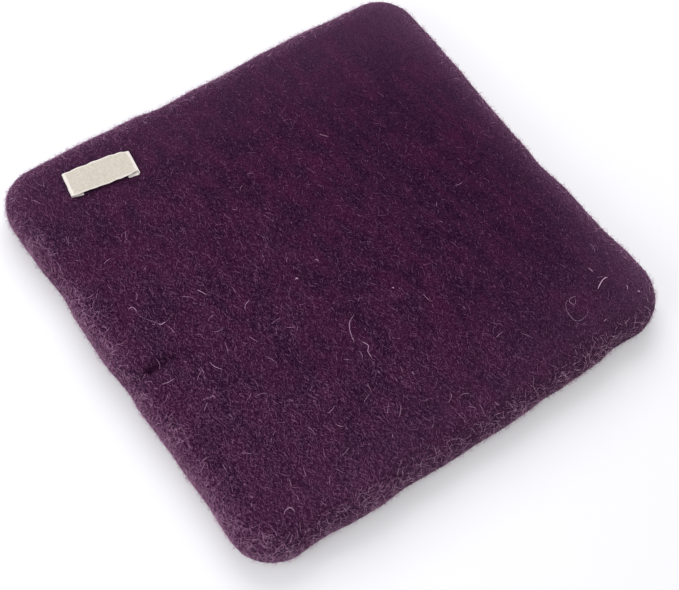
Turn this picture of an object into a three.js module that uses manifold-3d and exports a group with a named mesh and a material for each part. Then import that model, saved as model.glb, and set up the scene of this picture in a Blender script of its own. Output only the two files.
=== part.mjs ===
// Needle felting pad: a square block of felted wool with a folded tape label tacked to its top.
// Two dyed felt skins lap each other round the sides and hold a core of cross-laid wool batts.
// Millimetres, +Z up. The origin is the middle of the underside. +X is the pad's right-hand side
// and +Y is its back, where the label lies in the left-hand corner.
import * as THREE from 'three';
import { mergeVertices } from 'three/addons/utils/BufferGeometryUtils.js';
import Module from 'manifold-3d';

const wasm = await Module();
wasm.setup();

// Plan of the pad: the lines of its sides, the round corners, and how far each side's middle
// stands out of its line (drawn in where negative)
const PAD_WIDTH = 206;
const PAD_DEPTH = 200;
const BACK_RIGHT_RADIUS = 22.8;
const BACK_LEFT_RADIUS = 16.2;
const FRONT_LEFT_RADIUS = 17.8;
const FRONT_RIGHT_RADIUS = 19.1;
const BACK_BOW = -0.9;
const LEFT_BOW = 0.1;
const FRONT_BOW = 2.2;
const RIGHT_BOW = -2.7;

// Section of the pad: a rolled bottom edge, a short wall and a rolled top edge, then a low crown
const BOTTOM_EDGE_RADIUS = 7;
const WALL_HEIGHT = 4;
const TOP_EDGE_RADIUS = 9;
const CROWN = 2;

// Felt skins, and the step where they lap each other half-way up the wall
const SKIN_THICKNESS = 3;
const LAP_HEIGHT = 3;
const LAP_CLEARANCE = 0.3;

// Core of batts
const BATT_COUNT = 6;
const BATT_CLEARANCE = 0.3;

// Label: a tape whose ends are folded under, with its middle's distance from the pad's left-hand
// side and back, and its turn
const LABEL_LENGTH = 30;
const TAPE_WIDTH = 12;
const TAPE_THICKNESS = 0.35;
const FLAP_LENGTH = 5;
const LABEL_SEAT_CLEARANCE = 0.3;
const LABEL_FROM_LEFT = 40.4;
const LABEL_FROM_BACK = 22.6;
const LABEL_TURN = THREE.MathUtils.degToRad(-8);

// Tacking thread under each end of the label
const THREAD_DIAMETER = 0.3;
const THREAD_CLEARANCE = 0.3;
const STITCH_LENGTH = 1.8;
const STITCH_RUNS = 5;
const STITCH_DEPTH = 1.5;
const STITCH_FROM_FOLD = 2.8;
const STITCH_BEND = 0.45;

// Fineness of the facets
const CORNER_STEPS = 5;
const SIDE_STEPS = 6;
const EDGE_STEPS = 6;
const FACE_SCALES = [1 / 3, 2 / 3];
const BATT_EDGE_SHARES = [1, 2 / 3, 1 / 3, 0];
const FOLD_SEGMENTS = 8;
const THREAD_SIDES = 6;
const THREAD_STEP = 0.4;

// Finishes
const PLUM_FELT = { color: 0x41243c, roughness: 0.95, metalness: 0 };
const RAW_WOOL = { color: 0xe4dcc8, roughness: 0.95, metalness: 0 };
const COTTON_TAPE = { color: 0xd6c8b4, roughness: 0.9, metalness: 0 };
const COTTON_THREAD = { color: 0xdccfbc, roughness: 0.8, metalness: 0 };

// Heights that follow from the section
const topEdgeCentre = BOTTOM_EDGE_RADIUS + WALL_HEIGHT;
const edgeHeight = topEdgeCentre + TOP_EDGE_RADIUS;
const wallMiddle = BOTTOM_EDGE_RADIUS + WALL_HEIGHT / 2;
const lapLow = wallMiddle - LAP_HEIGHT / 2;
const lapHigh = wallMiddle + LAP_HEIGHT / 2;
const coreBottom = SKIN_THICKNESS + BATT_CLEARANCE;
const coreTop = edgeHeight - SKIN_THICKNESS - BATT_CLEARANCE;

// Plan outline, anticlockwise from the right-hand side: each point with its outward direction
function planOutline() {
  const corners = [
    { x: 1, y: 1, radius: BACK_RIGHT_RADIUS, nextBow: BACK_BOW },
    { x: -1, y: 1, radius: BACK_LEFT_RADIUS, nextBow: LEFT_BOW },
    { x: -1, y: -1, radius: FRONT_LEFT_RADIUS, nextBow: FRONT_BOW },
    { x: 1, y: -1, radius: FRONT_RIGHT_RADIUS, nextBow: RIGHT_BOW },
  ];
  const onCorner = (corner, angle) => {
    const outward = new THREE.Vector2(Math.cos(angle), Math.sin(angle));
    const centre = new THREE.Vector2(
      corner.x * (PAD_WIDTH / 2 - corner.radius),
      corner.y * (PAD_DEPTH / 2 - corner.radius),
    );
    return { point: centre.addScaledVector(outward, corner.radius), outward };
  };
  const outline = [];
  corners.forEach((corner, index) => {
    const startAngle = (index * Math.PI) / 2;
    const endAngle = startAngle + Math.PI / 2;
    for (let step = 0; step <= CORNER_STEPS; step += 1) {
      const share = step / CORNER_STEPS;
      outline.push(onCorner(corner, THREE.MathUtils.lerp(startAngle, endAngle, share)));
    }
    const sideStart = onCorner(corner, endAngle);
    const sideEnd = onCorner(corners[(index + 1) % corners.length], endAngle);
    for (let step = 1; step < SIDE_STEPS; step += 1) {
      const share = step / SIDE_STEPS;
      const bow = corner.nextBow * Math.sin(Math.PI * share) ** 2;
      const point = sideStart.point.clone().lerp(sideEnd.point, share);
      outline.push({
        point: point.addScaledVector(sideStart.outward, bow),
        outward: sideStart.outward,
      });
    }
  });
  const centre = planBox(outline).getCenter(new THREE.Vector2());
  outline.forEach((place) => place.point.sub(centre));
  return outline;
}

// Smallest upright rectangle round an outline
function planBox(places) {
  return new THREE.Box2().setFromPoints(places.map((place) => place.point));
}

const outline = planOutline();

// Extra height of the domed top over its edge
function crownAt(x, y) {
  const acrossX = x / (PAD_WIDTH / 2 - TOP_EDGE_RADIUS);
  const acrossY = y / (PAD_DEPTH / 2 - TOP_EDGE_RADIUS);
  return CROWN * Math.max(0, 1 - acrossX ** 2) * Math.max(0, 1 - acrossY ** 2);
}

// Distance in from the plan outline of the pad's section, moved inwards by depth, at height z
function sectionInset(z, depth) {
  if (z > topEdgeCentre) {
    const radius = TOP_EDGE_RADIUS - depth;
    return TOP_EDGE_RADIUS - Math.sqrt(Math.max(0, radius ** 2 - (z - topEdgeCentre) ** 2));
  }
  if (z < BOTTOM_EDGE_RADIUS) {
    const radius = BOTTOM_EDGE_RADIUS - depth;
    return BOTTOM_EDGE_RADIUS - Math.sqrt(Math.max(0, radius ** 2 - (BOTTOM_EDGE_RADIUS - z) ** 2));
  }
  return depth;
}

// One ring of points: the outline moved in by inset, drawn in to scale about the middle, and
// raised by a share of the crown
function ring(inset, z, { scale = 1, crownShare = 0 } = {}) {
  return outline.map(({ point, outward }) => {
    const place = point.clone().addScaledVector(outward, -inset).multiplyScalar(scale);
    return new THREE.Vector3(place.x, place.y, z + crownShare * crownAt(place.x, place.y));
  });
}

// Rings of a face between its middle and its edge, from the middle out
function faceRings(inset, z, crownShare) {
  return FACE_SCALES.map((scale) => ring(inset, z, { scale, crownShare }));
}

// Rings of a rolled edge of the section moved inwards by depth, between two angles from level
function edgeRings(edgeRadius, centreHeight, depth, fromAngle, toAngle, crownShare) {
  const rings = [];
  for (let step = 0; step <= EDGE_STEPS; step += 1) {
    const angle = THREE.MathUtils.lerp(fromAngle, toAngle, step / EDGE_STEPS);
    const radius = edgeRadius - depth;
    const inset = edgeRadius - radius * Math.cos(angle);
    rings.push(ring(inset, centreHeight + radius * Math.sin(angle), { crownShare }));
  }
  return rings;
}

// Closed solid through a stack of rings, from the middle of an upward face outwards and round
// to the middle of the opposite face
function loft(firstHeight, rings, lastHeight) {
  const count = outline.length;
  const points = [
    new THREE.Vector3(0, 0, firstHeight),
    ...rings.flat(),
    new THREE.Vector3(0, 0, lastHeight),
  ];
  const lastPole = points.length - 1;
  const triangles = [];
  for (let around = 0; around < count; around += 1) {
    const next = (around + 1) % count;
    triangles.push(0, 1 + around, 1 + next);
    for (let level = 0; level < rings.length - 1; level += 1) {
      const inner = 1 + level * count;
      const outer = inner + count;
      triangles.push(inner + around, outer + around, outer + next);
      triangles.push(inner + around, outer + next, inner + next);
    }
    const lastRing = 1 + (rings.length - 1) * count;
    triangles.push(lastRing + around, lastPole, lastRing + next);
  }
  const geometry = new THREE.BufferGeometry().setFromPoints(points);
  geometry.setIndex(triangles);
  geometry.computeVertexNormals();
  return geometry;
}

// Top skin: the crowned face, its rolled edge and the outer half of the lap, then the inside
function topCoverGeometry() {
  const roof = edgeHeight - SKIN_THICKNESS;
  const lapWall = (SKIN_THICKNESS - LAP_CLEARANCE) / 2;
  const lapTop = lapHigh + LAP_CLEARANCE;
  return loft(
    edgeHeight + CROWN,
    [
      ...faceRings(TOP_EDGE_RADIUS, edgeHeight, 1),
      ...edgeRings(TOP_EDGE_RADIUS, topEdgeCentre, 0, Math.PI / 2, 0, 1),
      ring(sectionInset(lapLow, 0), lapLow),
      ring(sectionInset(lapLow, 0) + lapWall, lapLow),
      ring(sectionInset(lapTop, 0) + lapWall, lapTop),
      ring(sectionInset(lapTop, SKIN_THICKNESS), lapTop),
      ...edgeRings(TOP_EDGE_RADIUS, topEdgeCentre, SKIN_THICKNESS, 0, Math.PI / 2, 1).slice(1),
      ...faceRings(TOP_EDGE_RADIUS, roof, 1).reverse(),
    ],
    roof + CROWN,
  );
}

// Bottom skin: the inside floor, the inner half of the lap, then the rolled edge and flat underside
function bottomCoverGeometry() {
  const lapWall = (SKIN_THICKNESS + LAP_CLEARANCE) / 2;
  const lapSeat = lapLow - LAP_CLEARANCE;
  const level = -Math.PI / 2;
  return loft(
    SKIN_THICKNESS,
    [
      ...faceRings(BOTTOM_EDGE_RADIUS, SKIN_THICKNESS, 0),
      ...edgeRings(BOTTOM_EDGE_RADIUS, BOTTOM_EDGE_RADIUS, SKIN_THICKNESS, level, 0, 0),
      ring(sectionInset(lapHigh, SKIN_THICKNESS), lapHigh),
      ring(sectionInset(lapHigh, 0) + lapWall, lapHigh),
      ring(sectionInset(lapSeat, 0) + lapWall, lapSeat),
      ring(sectionInset(lapSeat, 0), lapSeat),
      ...edgeRings(BOTTOM_EDGE_RADIUS, BOTTOM_EDGE_RADIUS, 0, 0, level, 0).slice(1),
      ...faceRings(BOTTOM_EDGE_RADIUS, 0, 0).reverse(),
    ],
    0,
  );
}

// One batt of the core, counted from the bottom: it takes its share of the crown, and its edge
// follows the inside of the skins
function battGeometry(index) {
  const pitch = (coreTop - coreBottom + BATT_CLEARANCE) / BATT_COUNT;
  const low = coreBottom + index * pitch;
  const high = low + pitch - BATT_CLEARANCE;
  const shareAt = (z) => (z - coreBottom) / (coreTop - coreBottom);
  const insetAt = (z) => sectionInset(z, SKIN_THICKNESS + BATT_CLEARANCE);
  const edge = BATT_EDGE_SHARES.map((share) => {
    const z = THREE.MathUtils.lerp(low, high, share);
    return ring(insetAt(z), z, { crownShare: shareAt(z) });
  });
  return loft(
    high + shareAt(high) * CROWN,
    [
      ...faceRings(insetAt(high), high, shareAt(high)),
      ...edge,
      ...faceRings(insetAt(low), low, shareAt(low)).reverse(),
    ],
    low + shareAt(low) * CROWN,
  );
}

// Heights of the folded tape over the pad's top: flap, the slit that the thread lies in, and face
const flapTop = LABEL_SEAT_CLEARANCE + TAPE_THICKNESS;
const tunnelRadius = THREAD_DIAMETER / 2 + THREAD_CLEARANCE;
const slit = 2 * tunnelRadius;
const threadTop = flapTop + slit / 2;
const foldRadius = TAPE_THICKNESS + slit / 2;

// Stitches run across the tape: down through the flap and the felt and up again, in equal runs
const stitchFrom = (-STITCH_RUNS * STITCH_LENGTH) / 2;
const legPlaces = Array.from(
  { length: STITCH_RUNS - 1 },
  (_, index) => stitchFrom + (index + 1) * STITCH_LENGTH,
);
const stitchRows = [
  { name: 'label_stitch_left', x: -LABEL_LENGTH / 2 + STITCH_FROM_FOLD },
  { name: 'label_stitch_right', x: LABEL_LENGTH / 2 - STITCH_FROM_FOLD },
];

// Folded tape, seen from its long edge and extruded over its width
function tapeGeometry() {
  const half = LABEL_LENGTH / 2;
  const foldX = half - foldRadius;
  const foldY = LABEL_SEAT_CLEARANCE + foldRadius;
  const quarter = Math.PI / 2;
  const shape = new THREE.Shape();
  shape.moveTo(-half + FLAP_LENGTH, LABEL_SEAT_CLEARANCE);
  shape.lineTo(-foldX, LABEL_SEAT_CLEARANCE);
  shape.absarc(-foldX, foldY, foldRadius, -quarter, quarter, true);
  shape.lineTo(foldX, foldY + foldRadius);
  shape.absarc(foldX, foldY, foldRadius, quarter, -quarter, true);
  shape.lineTo(half - FLAP_LENGTH, LABEL_SEAT_CLEARANCE);
  shape.lineTo(half - FLAP_LENGTH, flapTop);
  shape.lineTo(foldX, flapTop);
  shape.absarc(foldX, foldY, slit / 2, -quarter, quarter, false);
  shape.lineTo(-foldX, flapTop + slit);
  shape.absarc(-foldX, foldY, slit / 2, quarter, -quarter, false);
  shape.lineTo(-half + FLAP_LENGTH, flapTop);
  shape.closePath();
  const geometry = new THREE.ExtrudeGeometry(shape, {
    depth: TAPE_WIDTH,
    bevelEnabled: false,
    curveSegments: FOLD_SEGMENTS,
  });
  return geometry.rotateX(quarter).translate(0, TAPE_WIDTH / 2, 0);
}

// Needle hole through a flap, for one leg of a stitch
function needleHoleGeometry(x, y) {
  const geometry = new THREE.CylinderGeometry(tunnelRadius, tunnelRadius, threadTop, THREAD_SIDES);
  return geometry.rotateX(Math.PI / 2).translate(x, y, threadTop / 2);
}

// Route of a thread: runs on the flap and in the felt by turns, with round bends between them
function threadPath(x) {
  const corners = [new THREE.Vector3(x, stitchFrom, threadTop)];
  legPlaces.forEach((y, index) => {
    const heights = index % 2 === 0 ? [threadTop, -STITCH_DEPTH] : [-STITCH_DEPTH, threadTop];
    heights.forEach((z) => corners.push(new THREE.Vector3(x, y, z)));
  });
  corners.push(new THREE.Vector3(x, -stitchFrom, threadTop));
  const path = new THREE.CurvePath();
  let reached = corners[0];
  corners.slice(1, -1).forEach((corner, index) => {
    const before = corners[index];
    const after = corners[index + 2];
    const bendStart = corner.clone().add(before.clone().sub(corner).setLength(STITCH_BEND));
    const bendEnd = corner.clone().add(after.clone().sub(corner).setLength(STITCH_BEND));
    path.add(new THREE.LineCurve3(reached, bendStart));
    path.add(new THREE.QuadraticBezierCurve3(bendStart, corner, bendEnd));
    reached = bendEnd;
  });
  path.add(new THREE.LineCurve3(reached, corners.at(-1)));
  return path;
}

// Tube of a given radius along a thread's route
function threadGeometry(x, radius) {
  const path = threadPath(x);
  const section = new THREE.Shape(
    Array.from({ length: THREAD_SIDES }, (_, side) => {
      const angle = (2 * Math.PI * side) / THREAD_SIDES;
      return new THREE.Vector2(radius * Math.cos(angle), radius * Math.sin(angle));
    }),
  );
  const steps = Math.round(path.getLength() / THREAD_STEP);
  return new THREE.ExtrudeGeometry(section, { steps, bevelEnabled: false, extrudePath: path });
}

// Closed geometry as a solid for cutting
function solidOf(geometry) {
  const bare = geometry.clone();
  bare.deleteAttribute('normal');
  bare.deleteAttribute('uv');
  const merged = mergeVertices(bare);
  return new wasm.Manifold(
    new wasm.Mesh({
      numProp: 3,
      vertProperties: new Float32Array(merged.attributes.position.array),
      triVerts: new Uint32Array(merged.index.array),
    }),
  );
}

// Geometry with other geometries cut out of it
function cut(geometry, tools) {
  const solid = tools.reduce((rest, tool) => rest.subtract(solidOf(tool)), solidOf(geometry));
  const mesh = solid.getMesh();
  const result = new THREE.BufferGeometry();
  result.setAttribute('position', new THREE.BufferAttribute(mesh.vertProperties, 3));
  result.setIndex(new THREE.BufferAttribute(mesh.triVerts, 1));
  result.computeVertexNormals();
  return result;
}

// Named piece in its own material
function addPiece(parent, name, geometry, finish) {
  const mesh = new THREE.Mesh(geometry, new THREE.MeshStandardMaterial(finish));
  mesh.name = name;
  parent.add(mesh);
}

// The label's frame: on the crowned top, level with it, and turned a little
function labelGroup() {
  const plan = planBox(outline);
  const x = plan.min.x + LABEL_FROM_LEFT;
  const y = plan.max.y - LABEL_FROM_BACK;
  const reach = TAPE_WIDTH / 2;
  const slopeX = crownAt(x + reach, y) - crownAt(x - reach, y);
  const slopeY = crownAt(x, y + reach) - crownAt(x, y - reach);
  const normal = new THREE.Vector3(-slopeX, -slopeY, 2 * reach).normalize();
  const up = new THREE.Vector3(0, 0, 1);
  const group = new THREE.Group();
  group.position.set(x, y, edgeHeight + crownAt(x, y));
  group.quaternion.setFromUnitVectors(up, normal);
  group.rotateZ(LABEL_TURN);
  group.updateMatrix();
  return group;
}

const pad = new THREE.Group();
const core = new THREE.Group();
const label = labelGroup();
pad.add(core, label);

const threadTunnels = stitchRows.map(({ x }) =>
  threadGeometry(x, tunnelRadius).applyMatrix4(label.matrix),
);
addPiece(pad, 'cover_top', cut(topCoverGeometry(), threadTunnels), PLUM_FELT);
addPiece(pad, 'cover_bottom', bottomCoverGeometry(), PLUM_FELT);

for (let index = 0; index < BATT_COUNT; index += 1) {
  addPiece(core, `core_batt_${index + 1}`, battGeometry(index), RAW_WOOL);
}

const needleHoles = stitchRows.flatMap(({ x }) => legPlaces.map((y) => needleHoleGeometry(x, y)));
addPiece(label, 'label_tape', cut(tapeGeometry(), needleHoles), COTTON_TAPE);
stitchRows.forEach(({ name, x }) => {
  addPiece(label, name, threadGeometry(x, THREAD_DIAMETER / 2), COTTON_THREAD);
});

export default pad;
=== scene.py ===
"""Dresses the needle felting pad: matted wool skins, loose fibres, a wool core and a tape label.

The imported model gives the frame. Sizes are in metres unless a class says millimetres, in the frame's
own axes: +Z is up out of the work face, +Y points to the back and the label lies in the back left corner.
"""

import logging
import math
from collections.abc import Sequence
from dataclasses import dataclass, replace
from enum import Enum
from functools import cached_property

import bmesh
import bpy
import numpy as np
from bpy.types import ID, Material, Mesh, Node, NodeSocket, NodeTree, Object
from mathutils import Matrix, Vector, noise
from mathutils.bvhtree import BVHTree

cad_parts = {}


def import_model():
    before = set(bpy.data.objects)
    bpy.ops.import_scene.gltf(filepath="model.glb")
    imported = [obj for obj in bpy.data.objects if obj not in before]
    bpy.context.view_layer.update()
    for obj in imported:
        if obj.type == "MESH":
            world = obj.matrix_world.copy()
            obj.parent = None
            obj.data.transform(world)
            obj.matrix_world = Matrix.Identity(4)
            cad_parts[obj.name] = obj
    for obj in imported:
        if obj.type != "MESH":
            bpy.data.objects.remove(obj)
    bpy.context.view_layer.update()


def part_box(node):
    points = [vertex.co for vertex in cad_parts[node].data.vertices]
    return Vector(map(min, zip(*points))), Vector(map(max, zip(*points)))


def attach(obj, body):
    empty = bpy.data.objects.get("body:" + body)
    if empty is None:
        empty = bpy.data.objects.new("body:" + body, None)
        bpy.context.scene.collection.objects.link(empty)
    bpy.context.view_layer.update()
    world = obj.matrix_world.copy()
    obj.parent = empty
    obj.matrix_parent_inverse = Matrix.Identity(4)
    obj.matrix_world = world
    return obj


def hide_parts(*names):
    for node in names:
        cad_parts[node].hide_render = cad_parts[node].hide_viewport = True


LOG = logging.getLogger("felting_pad")

MM = 0.001
BODY = "root"
WEAR_AND_SHEEN = "wear_and_sheen"
FRONT_LEFT_RISE = "use"
CREASE_SHADE = "shade"
PAINTED_LIGHT = "painted_light"
TINT = "tint"
SELVEDGE_AND_FOLD_LIGHT = "edge"
MAP_MARGIN = 1.1
TAPER_POWER = 4
SMALLEST = 1e-9
EDGE_SHARE = 1 - 1e-6

Colour = tuple[float, float, float]
Band = tuple[float, float]


def linear(red: int, green: int, blue: int) -> Colour:
    """Turns a colour written as screen values into scene values.

    Args:
        red, green, blue: Screen values from 0 to 255.

    Returns:
        The colour as linear red, green and blue.
    """
    shares = (value / 255 for value in (red, green, blue))
    return tuple(s / 12.92 if s <= 0.04045 else ((s + 0.055) / 1.055) ** 2.4 for s in shares)


def bell(away: np.ndarray, reach: float) -> np.ndarray:
    """A soft rise that is 1 in its middle and fades away around its reach."""
    return np.exp(-((away / reach) ** 2))


def noise_at(points: np.ndarray) -> np.ndarray:
    """Cloudy noise from -1 to 1 at each place, with lumps of a size of 1."""
    return np.array([noise.noise(Vector(point)) for point in points])


def run_lengths(points: np.ndarray) -> np.ndarray:
    """How far along a line each of its points lies."""
    steps = np.linalg.norm(np.diff(points, axis=0), axis=1)
    return np.concatenate(([0], np.cumsum(steps)))


@dataclass(frozen=True)
class Pattern:
    """A cloudy pattern: its size, the band over which it shows, and how much colour it mixes in."""

    size: float
    band: Band
    share: float = 1.0
    stretch: tuple[float, float, float] = (1.0, 1.0, 1.0)
    turn: float = 0.0
    layers: float = 2.0
    layer_strength: float = 0.5
    warp: float = 0.0


class Signal:
    """A number that varies over a surface, which can be used in sums."""

    def __init__(self, paint: "Paint", socket: NodeSocket) -> None:
        """Wraps an output socket of a paint's node tree."""
        self.paint = paint
        self.socket = socket

    def math(self, operation: str, *values: "Signal | float") -> "Signal":
        """Adds a Math node.

        Args:
            operation: Name of the Math node's operation.
            values: Its inputs in order.

        Returns:
            The node's result.
        """
        node = self.paint.node("ShaderNodeMath", {"operation": operation}, dict(enumerate(values)))
        return Signal(self.paint, node.outputs[0])

    def __add__(self, other: "Signal | float") -> "Signal":
        """Sum with another number."""
        return self.math("ADD", self, other)

    def __radd__(self, other: float) -> "Signal":
        """Sum with a number on the left."""
        return self.math("ADD", other, self)

    def __sub__(self, other: "Signal | float") -> "Signal":
        """Difference from another number."""
        return self.math("SUBTRACT", self, other)

    def __rsub__(self, other: float) -> "Signal":
        """Difference from a number on the left."""
        return self.math("SUBTRACT", other, self)

    def __mul__(self, other: "Signal | float") -> "Signal":
        """Product with another number."""
        return self.math("MULTIPLY", self, other)

    def __rmul__(self, other: float) -> "Signal":
        """Product with a number on the left."""
        return self.math("MULTIPLY", other, self)

    def ramp(self, low: float, high: float) -> "Signal":
        """Smooth step.

        Args:
            low: Value that gives 0.
            high: Value that gives 1.

        Returns:
            A number from 0 to 1.
        """
        settings = {"interpolation_type": "SMOOTHSTEP"}
        node = self.paint.node(
            "ShaderNodeMapRange", settings, {"Value": self, "From Min": low, "From Max": high}
        )
        return Signal(self.paint, node.outputs["Result"])


class NodeSheet:
    """A node tree that is filled node by node."""

    def __init__(self, tree: NodeTree) -> None:
        """Takes a tree and empties it."""
        self.tree = tree
        tree.nodes.clear()

    def node(self, kind: str, settings: dict | None = None, inputs: dict | None = None) -> Node:
        """Adds a node.

        Args:
            kind: The node's type.
            settings: Its own properties, set first.
            inputs: Values or links of its sockets, by name or place.

        Returns:
            The new node.
        """
        made = self.tree.nodes.new(kind)
        for key, value in (settings or {}).items():
            setattr(made, key, value)
        for key, value in (inputs or {}).items():
            if isinstance(value, Signal):
                value = value.socket
            if isinstance(value, NodeSocket):
                self.tree.links.new(value, made.inputs[key])
            else:
                made.inputs[key].default_value = value
        return made


class Paint(NodeSheet):
    """The node tree of one material."""

    def __init__(self, name: str) -> None:
        """Makes an empty material.

        Args:
            name: The material's name.
        """
        self.material = bpy.data.materials.new(name)
        self.material.use_nodes = True
        super().__init__(self.material.node_tree)

    def place(self) -> NodeSocket:
        """The point on the piece, in metres."""
        return self.node("ShaderNodeTexCoord").outputs["Object"]

    def stretched(self, turn: float, stretch: Sequence[float],
                  place: NodeSocket | None = None) -> NodeSocket:
        """Turned and stretched places, for a pattern with a grain.

        Args:
            turn: Angle about the upright axis, in radians.
            stretch: Scale along each axis.
            place: Where the pattern is read, or the point on the piece.

        Returns:
            The places after the turn and the stretch.
        """
        inputs = {"Vector": place or self.place(), "Rotation": (0, 0, turn), "Scale": tuple(stretch)}
        return self.node("ShaderNodeMapping", {"vector_type": "TEXTURE"}, inputs).outputs[0]

    def wavered(self, size: float, reach: float) -> NodeSocket:
        """Places that wander a little, for a pattern that isn't drawn with a ruler.

        Args:
            size: Size of the waves, in metres.
            reach: How far a place wanders, in metres.

        Returns:
            The moved places.
        """
        wave = self.node("ShaderNodeTexNoise", {}, {"Vector": self.place(), "Scale": 1 / size, "Detail": 1.0})
        inputs = {0: wave.outputs["Color"], 1: (reach, reach, reach), 2: self.place()}
        return self.node("ShaderNodeVectorMath", {"operation": "MULTIPLY_ADD"}, inputs).outputs[0]

    def strokes(self, size: float, place: NodeSocket) -> Signal:
        """Cells that each have a tone of their own.

        Args:
            size: Size of a cell, in metres.
            place: Where they are read.

        Returns:
            A number from 0 to 1, spread evenly.
        """
        cells = self.node("ShaderNodeTexVoronoi", {}, {"Vector": place, "Scale": 1 / size}).outputs["Color"]
        return Signal(self, self.node("ShaderNodeSeparateColor", {}, {0: cells}).outputs[0])

    def attribute(self, name: str) -> Signal:
        """A number that is laid on the piece's vertices."""
        return Signal(self, self.node("ShaderNodeAttribute", {"attribute_name": name}).outputs["Fac"])

    def noise(self, pattern: Pattern) -> Signal:
        """Cloudy noise.

        Args:
            pattern: The pattern that it makes.

        Returns:
            A number from 0 to 1, around a half.
        """
        inputs = {
            "Vector": self.stretched(pattern.turn, pattern.stretch),
            "Scale": 1 / pattern.size,
            "Detail": pattern.layers,
            "Roughness": pattern.layer_strength,
            "Distortion": pattern.warp,
        }
        return Signal(self, self.node("ShaderNodeTexNoise", {}, inputs).outputs[0])

    def mix(self, share: "Signal | float", first: object, second: object) -> NodeSocket:
        """Colour between two colours.

        Args:
            share: 0 gives the first colour and 1 the second.
            first: A colour or a colour socket.
            second: A colour or a colour socket.

        Returns:
            The mixed colour.
        """
        ends = [(*end, 1.0) if isinstance(end, tuple) else end for end in (first, second)]
        inputs = {0: share, 6: ends[0], 7: ends[1]}
        return self.node("ShaderNodeMix", {"data_type": "RGBA"}, inputs).outputs[2]

    def bump(self, height: Signal, strength: float, depth: float) -> NodeSocket:
        """Relief that is too fine for the mesh.

        Args:
            height: The relief's height, from 0 to 1.
            strength: How much of it shows.
            depth: Its depth in metres.

        Returns:
            The directions of the surface with that relief.
        """
        inputs = {"Strength": strength, "Distance": depth, "Height": height}
        return self.node("ShaderNodeBump", {}, inputs).outputs[0]

    def fibrous(self, colour: NodeSocket, roughness: float, gloss: float,
                others: dict | None = None) -> Material:
        """Ends the tree with the shader that every fibrous finish has.

        Args:
            colour: Its colour.
            roughness: Its roughness.
            gloss: How strongly it reflects.
            others: Its other inputs, by name.

        Returns:
            The material.
        """
        inputs = {"Base Color": colour, "Roughness": roughness, "Specular IOR Level": gloss}
        return self.finish(self.node("ShaderNodeBsdfPrincipled", {}, inputs | (others or {})))

    def finish(self, shader: Node) -> Material:
        """Ends the tree with a shader.

        Args:
            shader: The last shader node.

        Returns:
            The material.
        """
        self.node("ShaderNodeOutputMaterial", {}, {"Surface": shader.outputs[0]})
        return self.material


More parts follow.
